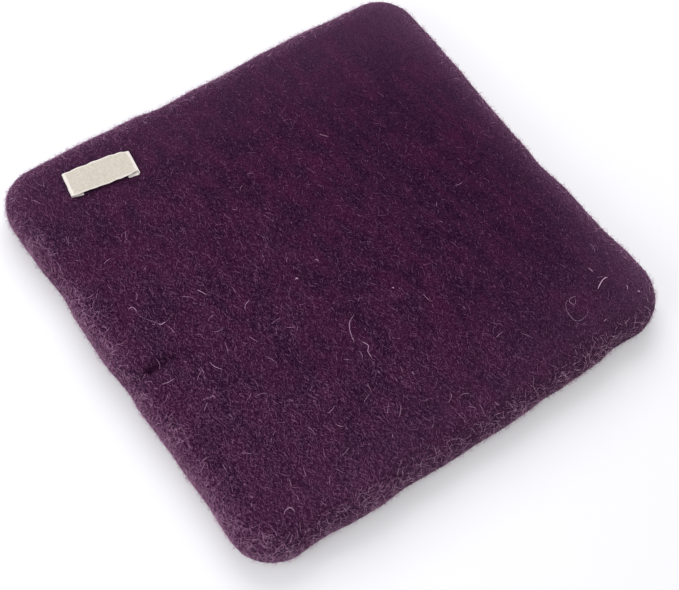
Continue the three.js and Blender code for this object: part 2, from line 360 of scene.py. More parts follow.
@dataclass(frozen=True)
class FeltFinish:
    """Matted plum wool: patches of dye, dark streaks, and fine strokes that follow the grain; the grain's
    dark gaps are painted shade and its palest cells painted highlights.
    """

    # deep is also the colour of the painted shade in the grain's gaps and in the crease
    deep: Colour = linear(24, 2, 22)
    body: Colour = linear(57, 19, 51)
    warm: Colour = linear(63, 18, 52)
    cool: Colour = linear(35, 9, 38)
    ash: Colour = linear(86, 56, 83)
    # pale is the colour of the painted highlights on the grain's palest cells
    pale: Colour = linear(156, 108, 145)
    bloom: Colour = linear(216, 174, 206)
    patch: Pattern = Pattern(24 * MM, (0.42, 0.62), layers=3.0, layer_strength=0.6)
    cloud: Pattern = Pattern(10 * MM, (0.44, 0.62), 0.75, (1.0, 1.8, 1.0), layers=3.0, layer_strength=0.6)
    streak: Pattern = Pattern(3.2 * MM, (0.42, 0.64), 0.9, (1.0, 9.0, 1.0), turn=0.1)
    tint_pull: float = 0.1
    streak_lost_to_front_left: float = 0.6
    streak_lost_to_warmth: float = 0.4
    grain_size: float = 0.24 * MM
    grain_stretch: tuple[float, float, float] = (1.0, 1.35, 1.0)
    waver_size: float = 3 * MM
    waver_reach: float = 1.2 * MM
    # How much paler and greyer the felt turns: towards the front left, in the patches of painted light, and
    # on the rim by rubbing and painted sheen.
    ash_by_front_left: float = 0.06
    ash_by_painted_light: float = 0.32
    ash_by_rub_and_sheen: float = 0.22
    # Painted shade in the grain's dark gaps: its band, its share, its rise towards the front left and its
    # loss on the rim
    gap_shade_band: Band = (0.0, 0.5)
    gap_shade_share: float = 0.36
    gap_shade_by_front_left: float = 0.4
    gap_shade_lost_at_rim: float = 0.4
    # Painted highlights on the grain's palest cells: their band, share, rise towards the front left and rise
    # on the rim
    highlight_band: Band = (0.65, 1.0)
    highlight_share: float = 0.13
    highlight_by_front_left: float = 0.2
    highlight_by_rub_and_sheen: float = 0.28
    # How the rim's pale cells vary with the cloud: partly rubbed wool, partly painted sheen
    rub_and_sheen_band: Band = (0.3, 0.6)
    rub_and_sheen_share: float = 0.2
    relief: float = 0.22 * MM
    relief_strength: float = 0.6
    roughness: float = 0.95
    gloss: float = 0.03
    sheen: float = 0.38
    sheen_roughness: float = 0.2

    def material(self) -> Material:
        """Builds the felt's material.

        Returns:
            The material.
        """
        paint = Paint("plum_felt")
        use, wear_and_sheen = paint.attribute(FRONT_LEFT_RISE), paint.attribute(WEAR_AND_SHEEN)
        patch, cloud, streak = (paint.noise(pattern) for pattern in (self.patch, self.cloud, self.streak))
        wavered = paint.wavered(self.waver_size, self.waver_reach)
        grain = paint.strokes(self.grain_size, paint.stretched(0.0, self.grain_stretch, wavered))
        warmth = (patch + paint.attribute(TINT) * self.tint_pull).ramp(*self.patch.band)
        colour = paint.mix(warmth, self.body, self.warm)
        colour = paint.mix(cloud.ramp(*self.cloud.band) * self.cloud.share, colour, self.cool)
        streaked = streak.ramp(*self.streak.band) * (self.streak.share - use * self.streak_lost_to_front_left)
        colour = paint.mix(streaked * (1 - warmth * self.streak_lost_to_warmth), colour, self.cool)
        # Ash tone: painted light in its patches, rubbing and painted sheen on the rim, and a little more
        # towards the front left.
        ash_tone = use * self.ash_by_front_left + paint.attribute(PAINTED_LIGHT) * self.ash_by_painted_light
        colour = paint.mix(ash_tone + wear_and_sheen * (1 - use) * self.ash_by_rub_and_sheen, colour, self.ash)
        # Painted shade: the grain's dark gaps turn deep, more towards the front left and less on the rim.
        shadow = (self.gap_shade_share + use * self.gap_shade_by_front_left) * (1 - wear_and_sheen * self.gap_shade_lost_at_rim)
        colour = paint.mix((1 - grain.ramp(*self.gap_shade_band)) * shadow, colour, self.deep)
        # Painted highlights: the grain's palest cells turn pale, more towards the front left and on the rim,
        # where they are partly rubbed wool and partly painted sheen.
        rubbed = wear_and_sheen * (self.highlight_by_rub_and_sheen + cloud.ramp(*self.rub_and_sheen_band) * self.rub_and_sheen_share)
        highlights = grain.ramp(*self.highlight_band) * (self.highlight_share + use * self.highlight_by_front_left + rubbed)
        colour = paint.mix(highlights, colour, self.pale)
        # Painted shade down in the crease.
        colour = paint.mix(paint.attribute(CREASE_SHADE), colour, self.deep)
        return paint.fibrous(colour, self.roughness, self.gloss, {
            "Sheen Weight": self.sheen,
            "Sheen Roughness": self.sheen_roughness,
            "Sheen Tint": (*self.bloom, 1.0),
            "Normal": paint.bump(grain, self.relief_strength, self.relief),
        })


@dataclass(frozen=True)
class FibreFinish:
    """One dye tone of loose wool fibre, which drifts a little from place to place, with painted glints along
    it and a paler rim tone that is partly rubbed wool and partly painted sheen.
    """

    name: str
    low: Colour
    high: Colour
    worn: Colour = linear(172, 116, 160)
    worn_share: float = 0.2
    drift: Pattern = Pattern(8 * MM, (0.3, 0.7), 0.4, (1.0, 1.0, 1e3), layers=3.0, layer_strength=0.6)
    glint: Pattern = Pattern(0.8 * MM, (0.4, 0.6), 0.6, (1.0, 1.0, 1e3))
    roughness: float = 0.8
    gloss: float = 0.06

    def material(self) -> Material:
        """Builds the fibre's material.

        Returns:
            The material.
        """
        paint = Paint(self.name)
        drift, glint = (
            paint.noise(pattern).ramp(*pattern.band) * pattern.share for pattern in (self.drift, self.glint)
        )
        # The glint pattern paints brighter stretches along each fibre: painted glints where it catches the
        # light.
        colour = paint.mix(drift + glint, self.low, self.high)
        # Paler at the rim: partly rubbed wool, partly painted sheen.
        colour = paint.mix(paint.attribute(WEAR_AND_SHEEN) * self.worn_share, colour, self.worn)
        return paint.fibrous(colour, self.roughness, self.gloss)


@dataclass(frozen=True)
class RawWoolFinish:
    """Undyed carded wool, with its fibres combed one way."""

    name: str
    turn: float
    cream: Colour = linear(226, 217, 197)
    shade: Colour = linear(188, 174, 147)
    strand: Pattern = Pattern(0.9 * MM, (0.35, 0.65), 1.0, (14.0, 1.0, 1.0), layers=3.0, warp=0.6)
    cloud: Pattern = Pattern(14 * MM, (0.45, 0.75), 0.3)
    relief: float = 0.2 * MM
    relief_strength: float = 0.7
    roughness: float = 0.95
    gloss: float = 0.2
    sheen: float = 0.15

    def material(self) -> Material:
        """Builds the wool's material.

        Returns:
            The material.
        """
        paint = Paint(self.name)
        strands = paint.noise(replace(self.strand, turn=self.turn))
        colour = paint.mix(strands.ramp(*self.strand.band), self.shade, self.cream)
        cloud = paint.noise(self.cloud).ramp(*self.cloud.band)
        colour = paint.mix(cloud * self.cloud.share, colour, self.shade)
        return paint.fibrous(colour, self.roughness, self.gloss, {
            "Sheen Weight": self.sheen,
            "Normal": paint.bump(strands, self.relief_strength, self.relief),
        })


@dataclass(frozen=True)
class CottonFinish:
    """Unbleached cotton, as tape or thread."""

    name: str
    cream: Colour = linear(222, 214, 203)
    shade: Colour = linear(206, 197, 184)
    white: Colour = linear(250, 243, 238)
    slub: Pattern = Pattern(1.1 * MM, (0.3, 0.7), layers=3.0, layer_strength=0.7)
    stain: Pattern = Pattern(6 * MM, (0.5, 0.8), 0.35)
    selvedge_and_fold_light_share: float = 0.9
    relief: float = 0.05 * MM
    relief_strength: float = 0.4
    roughness: float = 0.9
    gloss: float = 0.2

    def material(self) -> Material:
        """Builds the cotton's material.

        Returns:
            The material.
        """
        paint = Paint(self.name)
        slub = paint.noise(self.slub)
        colour = paint.mix(slub.ramp(*self.slub.band), self.shade, self.cream)
        stain = paint.noise(self.stain).ramp(*self.stain.band)
        colour = paint.mix(stain * self.stain.share, colour, self.shade)
        # Paler near the tape's long woven edges, and a painted highlight over the folds and the flaps under
        # them.
        colour = paint.mix(paint.attribute(SELVEDGE_AND_FOLD_LIGHT) * self.selvedge_and_fold_light_share, colour, self.white)
        normal = paint.bump(slub, self.relief_strength, self.relief)
        return paint.fibrous(colour, self.roughness, self.gloss, {"Normal": normal})


class PadPlan:
    """The pad's plan outline, read by how far round it a point is.

    Round the plan, 0 to 1 is the back, then come the left side, the front and the right side, and
    each whole number is the middle of a corner, from the back right one on.
    """

    CORNER_STEPS = 48
    SIDE_STEPS = 96

    def __init__(self, width: float, depth: float, radii: Sequence[float], bows: Sequence[float]) -> None:
        """Lays out the corners and sides.

        Args:
            width: Distance between the lines of the left and right sides.
            depth: Distance between the lines of the front and back.
            radii: Corner radii: back right, back left, front left, front right.
            bows: How far each side's middle stands out: back, left, front, right.
        """
        half = np.array((width, depth)) / 2
        signs = np.array(((1, 1), (-1, 1), (-1, -1), (1, -1)))
        centres = signs * (half - np.array(radii)[:, None])
        points, outward = [], []
        for index in range(4):
            angles = np.linspace(0, math.pi / 2, self.CORNER_STEPS + 1) + index * math.pi / 2
            away = np.column_stack((np.cos(angles), np.sin(angles)))
            points.append(centres[index] + radii[index] * away)
            outward.append(away)
            following = (index + 1) % 4
            end = centres[following] + radii[following] * away[-1]
            share = np.linspace(0, 1, self.SIDE_STEPS + 1)[1:-1, None]
            line = points[-1][-1] * (1 - share) + end * share
            points.append(line + away[-1] * bows[index] * np.sin(math.pi * share) ** 2)
            outward.append(np.repeat(away[-1:], len(share), axis=0))
        start = self.CORNER_STEPS // 2
        self.points = np.roll(np.vstack(points), -start, axis=0)
        self.points -= (self.points.min(0) + self.points.max(0)) / 2
        self.outward = np.roll(np.vstack(outward), -start, axis=0)
        self.lengths = run_lengths(np.vstack((self.points, self.points[:1])))
        per_side = self.CORNER_STEPS + self.SIDE_STEPS
        self.corner_lengths = self.lengths[np.arange(5) * per_side]

    def at(self, round_it: np.ndarray) -> tuple[np.ndarray, np.ndarray]:
        """Points of the outline.

        Args:
            round_it: How far round the plan, from 0 to 4.

        Returns:
            The points and their outward directions.
        """
        length = np.interp(round_it, np.arange(5), self.corner_lengths)
        both = []
        for values in (self.points, self.outward):
            closed = np.vstack((values, values[:1]))
            both.append(np.column_stack([np.interp(length, self.lengths, closed[:, i]) for i in (0, 1)]))
        return both[0], both[1]


@dataclass(frozen=True)
class PadForm:
    """The pad's form: its plan, the section of its edge, and its low crown."""

    width: float
    depth: float
    crown: float
    corner_radii: tuple[float, ...] = (22.8 * MM, 16.2 * MM, 17.8 * MM, 19.1 * MM)
    side_bows: tuple[float, ...] = (-0.9 * MM, 0.1 * MM, 2.2 * MM, -2.7 * MM)
    bottom_edge: float = 7 * MM
    wall: float = 4 * MM
    top_edge: float = 9 * MM
    skin: float = 3 * MM
    seam: float = 7.5 * MM

    @classmethod
    def from_frame(cls) -> "PadForm":
        """Takes the size from the frame's two skins.

        Returns:
            The pad's form.
        """
        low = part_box("cover_bottom")[0]
        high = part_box("cover_top")[1]
        back, left, front, right = (max(0.0, bow) for bow in cls.side_bows)
        return cls(
            width=high.x - low.x - left - right,
            depth=high.y - low.y - front - back,
            crown=high.z - cls.bottom_edge - cls.wall - cls.top_edge,
        )

    @property
    def shoulder(self) -> float:
        """Height where the rolled top edge starts."""
        return self.bottom_edge + self.wall

    @property
    def edge_height(self) -> float:
        """Height where the rolled top edge meets the top face."""
        return self.shoulder + self.top_edge

    @cached_property
    def plan(self) -> PadPlan:
        """The plan outline."""
        return PadPlan(self.width, self.depth, self.corner_radii, self.side_bows)

    def crown_at(self, points: np.ndarray) -> np.ndarray:
        """Extra height of the domed top.

        Args:
            points: Places on the top, one row each.

        Returns:
            The extra height at each place.
        """
        reach = np.array((self.width, self.depth)) / 2 - self.top_edge
        return self.crown * np.prod(np.clip(1 - (points[:, :2] / reach) ** 2, 0, None), axis=1)

    def inset_at(self, heights: np.ndarray, depth: float) -> np.ndarray:
        """Distance in from the plan outline of the section moved inwards.

        Args:
            heights: Heights over the floor.
            depth: How far the section is moved inwards.

        Returns:
            The distance at each height.
        """
        inset = np.full(len(heights), depth)
        over, under = heights - self.shoulder, self.bottom_edge - heights
        for edge, rise in ((self.top_edge, over), (self.bottom_edge, under)):
            rolled = edge - np.sqrt(np.clip((edge - depth) ** 2 - rise**2, 0, None))
            inset = np.where(rise > 0, rolled, inset)
        return inset

    def sheet(self, name: str, rows: np.ndarray, facing_up: bool, crown_shares: np.ndarray) -> Mesh:
        """Lays a square grid over one face of the pad and rolls it round the edge.

        Args:
            name: Name of the mesh.
            rows: One row for each ring from the middle out: scale about the middle, inset, height.
            facing_up: Whether the face looks up.
            crown_shares: Share of the crown at each ring.

        Returns:
            An open mesh whose rim is the last ring.
        """
        count = len(rows) - 1
        mesh = grid_mesh(name, (2 * count, 2 * count), 1.0, facing_up)
        flat = coordinates(mesh)[:, :2]
        ring = np.abs(flat).max(1)
        across, along = (flat / np.maximum(ring, SMALLEST)[:, None]).T
        conditions = [along >= EDGE_SHARE, across <= -EDGE_SHARE, along <= -EDGE_SHARE]
        choices = [(1 - across) / 2, 1 + (1 - along) / 2, 2 + (1 + across) / 2]
        round_it = np.select(conditions, choices, 3 + (1 + along) / 2)
        scale, inset, height, share = (
            np.interp(ring * count, np.arange(count + 1), column)
            for column in np.column_stack((rows, crown_shares)).T
        )
        points, outward = self.plan.at(round_it)
        places = (points - outward * inset[:, None]) * scale[:, None]
        places = np.column_stack((places, height))
        places[:, 2] += share * self.crown_at(places)
        move_to(mesh, places)
        return mesh


@dataclass(frozen=True)
class Patch:
    """A soft-edged stretch of the pad along a line between two places, in millimetres."""

    start: tuple[float, float]
    end: tuple[float, float]
    reach: float
    strength: float = 1.0

    def share(self, points: np.ndarray) -> np.ndarray:
        """How much of the patch each place has.

        Args:
            points: Places on the pad, one row each.

        Returns:
            The patch's strength along its line, falling to 0 away from it.
        """
        start, end = np.array(self.start) * MM, np.array(self.end) * MM
        line = end - start
        along = np.clip((points[:, :2] - start) @ line / (line @ line), 0, 1)
        away = np.linalg.norm(points[:, :2] - start - along[:, None] * line, axis=1)
        return self.strength * bell(away, self.reach * MM)


@dataclass(frozen=True)
class WearAndPaintedLight:
    """How the pad is worn: rubbed on its sides and rim, where the paler tone is partly painted sheen and
    light, and paler and more grainy towards the front left corner.

    The fades are patches of painted light: paler and greyer along the back, the back right corner and the
    right side, where the light falls, and cooler on the shaded front. The tints are where it is warm, or
    under 0 cool.
    """

    form: PadForm
    reach: float = 12 * MM
    # The way towards the front left corner, along which the felt turns paler and its grain more contrasty,
    # with more loose fibres.
    front_left_way: tuple[float, float] = (-0.85, -0.53)
    # Patches of painted light: paler and greyer where the light falls on the back and right, cooler on the
    # shaded front.
    fades: tuple[Patch, ...] = (
        Patch((-103, 104), (103, 104), 34, 1.0),
        Patch((100, 100), (98, 98), 55, 0.9),
        Patch((105, 100), (105, -90), 17, 2.2),
        Patch((100, -90), (90, -96), 45, 0.5),
        Patch((-60, -104), (90, -104), 28, 0.7),
    )
    tints: tuple[Patch, ...] = (
        Patch((-60, 74), (54, 52), 26, 1.0),
        Patch((-50, 36), (10, -28), 24, 0.8),
        Patch((36, 22), (70, -58), 22, -1.0),
        Patch((88, 60), (92, -40), 14, -0.7),
    )
    side_reach: float = 8 * MM
    # How much paler each side's rim is: partly rubbing and partly painted light, least on the shaded front
    # and most on the right and back, where the light falls.
    side_rub_and_light: tuple[float, float, float, float] = (1.4, 1.0, 0.5, 1.5)

    def use(self, points: np.ndarray) -> np.ndarray:
        """How far each place lies towards the front left corner, from 0 towards the back right to 1 towards
        the front left.
        """
        return np.clip(0.5 + points[:, :2] @ np.array(self.front_left_way) / self.form.width, 0, 1)

    def inside(self, points: np.ndarray) -> np.ndarray:
        """How far in from the pad's sides each place lies, seen from above.

        Args:
            points: Places on the pad, one row each.

        Returns:
            The distance at each place.
        """
        flat = points[:, :2]
        half = np.array((self.form.width, self.form.depth)) / 2
        bulge = np.cos(np.clip(flat / half, -1, 1) * math.pi / 2) ** 2
        back, left, front, right = self.form.side_bows
        bows = np.column_stack((
            np.where(flat[:, 0] < 0, left, right) * bulge[:, 1],
            np.where(flat[:, 1] < 0, front, back) * bulge[:, 0],
        ))
        radius = float(np.mean(self.form.corner_radii))
        over = np.abs(flat) - half - bows + radius
        return radius - np.linalg.norm(np.clip(over, 0, None), axis=1) - np.minimum(over.max(1), 0)

    def by_side(self, points: np.ndarray, shares: Sequence[float]) -> np.ndarray:
        """The share of the side that is nearest to each place.

        Args:
            points: Places on the pad, one row each.
            shares: The share of the back, the left, the front and the right.

        Returns:
            The shares, blended where two sides meet.
        """
        x, y = points[:, 0], points[:, 1]
        width, depth = self.form.width / 2, self.form.depth / 2
        away = np.column_stack((depth - y, width + x, depth + y, width - x))
        near = np.exp(-(away - away.min(1, keepdims=True)) / self.side_reach)
        return near @ np.array(shares) / near.sum(1)

    def lay(self, mesh: Mesh) -> None:
        """Writes at each vertex its rim's paler tone from rubbing and painted sheen, how far towards the
        front left it lies, its painted light and its tint.

        Args:
            mesh: The mesh of a skin or of fibres.
        """
        points = coordinates(mesh)
        # The rim's paler tone: partly rubbed wool and partly painted sheen, with each side's share set partly
        # by how light falls on it.
        share = np.clip(1 - self.inside(points) / self.reach, 0, 1)
        lay_numbers(mesh, WEAR_AND_SHEEN, share**2 * (3 - 2 * share) * self.by_side(points, self.side_rub_and_light))
        lay_numbers(mesh, FRONT_LEFT_RISE, self.use(points))
        # The patches of painted light, and the tints.
        for name, patches in ((PAINTED_LIGHT, self.fades), (TINT, self.tints)):
            lay_numbers(mesh, name, sum(patch.share(points) for patch in patches))


@dataclass(frozen=True)
class Dent(Patch):
    """A soft hollow that the pad has taken while it was worked on, or with a depth under 0 a swelling.

    The depth is in millimetres, and the shade is painted shade down in it: how far the felt's colour is
    darkened towards deep there.
    """

    depth: float = 0.0
    shade: float = 0.0


@dataclass(frozen=True)
class FeltRelief:
    """The uneven surface of hand-needled wool: swells, lumps and pits, and a few dents."""

    swells: tuple[tuple[float, float], ...] = (
        (46 * MM, 0.9 * MM),
        (17 * MM, 0.5 * MM),
        (6 * MM, 0.18 * MM),
        (2.6 * MM, 0.05 * MM),
    )
    dents: tuple[Dent, ...] = (
        Dent((-103, 45), (-103, 46), 9, depth=1.3),
        Dent((-103, 76), (-102, 84), 8, depth=-0.6),
        Dent((-103, -42), (-103, -40), 6, depth=0.3),
        Dent((-103, -17), (-103, -18), 6, depth=-0.5),
        Dent((-103, 8), (-103, 32), 9, depth=-0.7),
        Dent((-103, -78), (-100, -93), 9, depth=-0.6),
        Dent((92, -98), (90, -100), 7, depth=-0.3),
        Dent((76, -102), (73, -102), 6, depth=1.5),
        Dent((62, -102), (44, -102), 8, depth=-1.0),
        Dent((25, -102), (16, -102), 7, depth=-0.9),
        Dent((-3, -102), (-14, -102), 7, depth=0.8),
        Dent((-24, -102), (-35, -102), 5, depth=0.8),
        Dent((-49, -102), (-60, -102), 7, depth=-1.6),
        Dent((-72, -102), (-74, -102), 5, depth=0.4),
        Dent((-85, -101), (-88, -101), 7, depth=-0.4),
        Dent((81, 101), (73, 101), 8, depth=1.3),
        Dent((46, 101), (51, 101), 8, depth=-0.3),
        Dent((32, 101), (22, 101), 7, depth=-0.4),
        Dent((-23, 101), (-18, 101), 8, depth=0.7),
        Dent((-32, 101), (-60, 101), 8, depth=-0.5),
        Dent((98, 89), (97, 92), 8, depth=-0.8),
        Dent((101, 60), (101, 54), 8, depth=0.5),
        Dent((101, -14), (101, -16), 6, depth=0.3),
        Dent((101, -28), (101, -36), 8, depth=-0.6),
        Dent((101, -48), (101, -50), 6, depth=0.3),
        Dent((103, -74), (103, -78), 9, depth=-0.9),
        # A crease: its shade is painted shade that darkens the felt's colour along it.
        Dent((-98.5, -8.4), (-94, -9.6), 1.7, depth=1.1, shade=0.5),
        Dent((-92.5, -8.8), (-88.5, -9.4), 2.3, depth=1.5, shade=0.65),
        Dent((-85.5, -8.6), (-83, -9.2), 2.0, depth=1.0, shade=0.5),
        Dent((-82, -11), (-77, -12), 2.5, depth=0.8, shade=0.35),
        Dent((-96, -14), (-80, -16), 4, depth=-0.7),
    )

    def heights(self, points: np.ndarray) -> np.ndarray:
        """How far the felt stands out of its plain form.

        Args:
            points: Places on the plain form, one row each.

        Returns:
            The distance out along the surface's own direction.
        """
        total = np.zeros(len(points))
        for size, height in self.swells:
            total += height * noise_at(points / size)
        for dent in self.dents:
            total -= dent.depth * MM * dent.share(points)
        return total

    def shade(self, points: np.ndarray) -> np.ndarray:
        """Painted shade at each place, down in the dents."""
        return sum(dent.shade * dent.share(points) for dent in self.dents if dent.shade)


def new_object(name: str, data: ID) -> Object:
    """Puts an object in the scene, at the origin.

    Args:
        name: The object's name.
        data: What it holds.

    Returns:
        The new object.
    """
    made = bpy.data.objects.new(name, data)
    bpy.context.scene.collection.objects.link(made)
    return made


def mesh_object(name: str, mesh: Mesh, material: Material) -> Object:
    """Puts a mesh in the scene as a smooth piece.

    Args:
        name: The piece's name.
        mesh: Its mesh.
        material: Its material.

    Returns:
        The new object.
    """
    mesh.name = name
    mesh.materials.clear()
    mesh.materials.append(material)
    mesh.shade_smooth()
    return new_object(name, mesh)


def grid_mesh(name: str, steps: Sequence[int], half: float, facing_up: bool = True) -> Mesh:
    """A flat grid round the origin.

    Args:
        name: Name of the mesh.
        steps: Number of faces along x and along y.
        half: Half the length of a side.
        facing_up: Whether its faces look up.

    Returns:
        The grid's mesh.
    """
    grid = bmesh.new()
    bmesh.ops.create_grid(grid, x_segments=steps[0], y_segments=steps[1], size=half)
    if not facing_up:
        bmesh.ops.reverse_faces(grid, faces=grid.faces)
    mesh = bpy.data.meshes.new(name)
    grid.to_mesh(mesh)
    grid.free()
    return mesh


def rows_of(items: "bpy.types.bpy_prop_collection", name: str) -> np.ndarray:
    """Reads a vector of each item of a mesh.

    Args:
        items: The mesh's vertices or directions.
        name: Which of their vectors is read.

    Returns:
        One row for each item.
    """
    values = np.empty(len(items) * 3)
    items.foreach_get(name, values)
    return values.reshape(-1, 3)


def coordinates(mesh: Mesh) -> np.ndarray:
    """The mesh's vertices, one row each."""
    return rows_of(mesh.vertices, "co")


def directions(mesh: Mesh) -> np.ndarray:
    """The surface's outward direction at each vertex, one row each."""
    return rows_of(mesh.vertex_normals, "vector")


def face_corners(mesh: Mesh) -> np.ndarray:
    """Reads which vertices the faces of a mesh join.

    Args:
        mesh: The mesh.

    Returns:
        The number of the vertex at each corner, face after face.
    """
    corners = np.empty(len(mesh.loops), dtype=np.int64)
    mesh.loops.foreach_get("vertex_index", corners)
    return corners


def move_to(mesh: Mesh, places: np.ndarray) -> None:
    """Moves the mesh's vertices to these places."""
    mesh.vertices.foreach_set("co", places.ravel())
    mesh.update()


def move_out(mesh: Mesh, distance: np.ndarray) -> None:
    """Moves each of the mesh's vertices out of its surface by a distance of its own."""
    move_to(mesh, coordinates(mesh) + directions(mesh) * distance[:, None])


def lay_numbers(mesh: Mesh, name: str, numbers: np.ndarray) -> None:
    """Writes one number on each vertex, for materials to read."""
    layer = mesh.attributes.new(name, "FLOAT", "POINT")
    layer.data.foreach_set("value", np.ascontiguousarray(numbers, dtype=np.float32))


def lay_map(mesh: Mesh, form: PadForm) -> None:
    """Gives fibres a map of where they lie on the pad, seen from above.

    Args:
        mesh: The fibres' mesh.
        form: The pad's form.
    """
    size = max(form.width, form.depth) * MAP_MARGIN
    spots = coordinates(mesh)[face_corners(mesh), :2] / size + 0.5
    layer = mesh.uv_layers.new(name="OFBake")
    layer.uv.foreach_set("vector", spots.astype(np.float32).ravel())


def finished_mesh(piece: Object) -> Mesh:
    """Makes a mesh of a piece as its curve or its modifiers shape it.

    Args:
        piece: The piece.

    Returns:
        A new mesh.
    """
    graph = bpy.context.evaluated_depsgraph_get()
    graph.update()
    return bpy.data.meshes.new_from_object(piece.evaluated_get(graph))


def thicken(piece: Object, thickness: float, offset: float) -> None:
    """Gives an open sheet its thickness.

    Args:
        piece: The sheet.
        thickness: Its thickness.
        offset: -1 keeps the sheet as the outer face, and 0 as the middle.
    """
    wall = piece.modifiers.new("wall", "SOLIDIFY")
    wall.thickness = thickness
    wall.offset = offset
    mesh = finished_mesh(piece)
    before = piece.data
    piece.modifiers.clear()
    piece.data = mesh
    bpy.data.meshes.remove(before)


def tube_piece(name: str, paths: Sequence[np.ndarray], radius: float, material: Material,
               sides: int = 3, taper: float = 0.35,
               shares: Sequence[float] | None = None) -> Object:
    """Thin closed tubes along paths.

    Args:
        name: The piece's name.
        paths: Points of each tube.
        radius: Radius in the middle of a tube.
        material: The piece's material.
        sides: Sides of a tube.
        taper: Share of the radius that is left at its ends.
        shares: Share of the radius that each tube has, or all of it.

    Returns:
        One mesh piece with all the tubes.
    """
    section = bpy.data.curves.new(f"{name}_section", "CURVE")
    ring = section.splines.new("POLY")
    ring.points.add(sides - 1)
    for index, point in enumerate(ring.points):
        angle = 2 * math.pi * index / sides
        point.co = (radius * math.cos(angle), radius * math.sin(angle), 0, 1)
    ring.use_cyclic_u = True
    outline = new_object(section.name, section)
    curve = bpy.data.curves.new(name, "CURVE")
    curve.dimensions = "3D"
    curve.bevel_mode = "OBJECT"
    curve.bevel_object = outline
    curve.use_fill_caps = True
    for path, thickness in zip(paths, shares or [1.0] * len(paths)):
        spline = curve.splines.new("POLY")
        spline.points.add(len(path) - 1)
        spline.points.foreach_set("co", np.column_stack((path, np.ones(len(path)))).ravel())
        share = np.linspace(-1, 1, len(path))
        spline.points.foreach_set("radius", thickness * (1 - (1 - taper) * share**TAPER_POWER))
    drawn = new_object(name, curve)
    mesh = finished_mesh(drawn)
    for helper in (drawn, outline):
        data = helper.data
        bpy.data.objects.remove(helper)
        bpy.data.curves.remove(data)
    return mesh_object(name, mesh, material)


@dataclass(frozen=True)
class LabelPlace:
    """Where the label lies on the pad's top."""

    x: float
    y: float
    turn: float = math.radians(-8)
    length: float = 30 * MM
    width: float = 12 * MM
    soft: float = 6 * MM

    @classmethod
    def from_frame(cls) -> "LabelPlace":
        """Takes the middle from the frame's label."""
        low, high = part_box("label_tape")
        return cls(x=(low.x + high.x) / 2, y=(low.y + high.y) / 2)

    def frame(self, form: PadForm) -> Matrix:
        """The label's own axes: X along it, Y across it and Z out of the pad.

        Args:
            form: The pad's form.

        Returns:
            The turn and place of those axes.
        """
        reach = self.width / 2
        steps = np.array(((reach, 0), (-reach, 0), (0, reach), (0, -reach), (0, 0)))
        right, left, back, front, middle = form.crown_at(steps + (self.x, self.y))
        upward = Vector((left - right, front - back, 2 * reach)).normalized()
        tilt = Vector((0, 0, 1)).rotation_difference(upward).to_matrix().to_4x4()
        spot = Vector((self.x, self.y, form.edge_height + middle))
        return Matrix.Translation(spot) @ tilt @ Matrix.Rotation(self.turn, 4, "Z")

    def beyond(self, points: np.ndarray) -> np.ndarray:
        """How far each place lies outside the label.

        Args:
            points: Places on the pad, one row each.

        Returns:
            The distance at each place, or 0 under the label.
        """
        away = points[:, :2] - np.array((self.x, self.y))
        along = np.array((math.cos(self.turn), math.sin(self.turn)))
        across = np.array((-along[1], along[0]))
        spots = np.column_stack((away @ along, away @ across))
        over = np.abs(spots) - np.array((self.length, self.width)) / 2
        return np.linalg.norm(np.clip(over, 0, None), axis=1)

    def share(self, points: np.ndarray) -> np.ndarray:
        """1 under the label, falling to 0 a little way off."""
        return np.clip(1 - self.beyond(points) / self.soft, 0, 1)


class Skin(Enum):
    """The two felt skins of the pad."""

    TOP = "cover_top"
    BOTTOM = "cover_bottom"


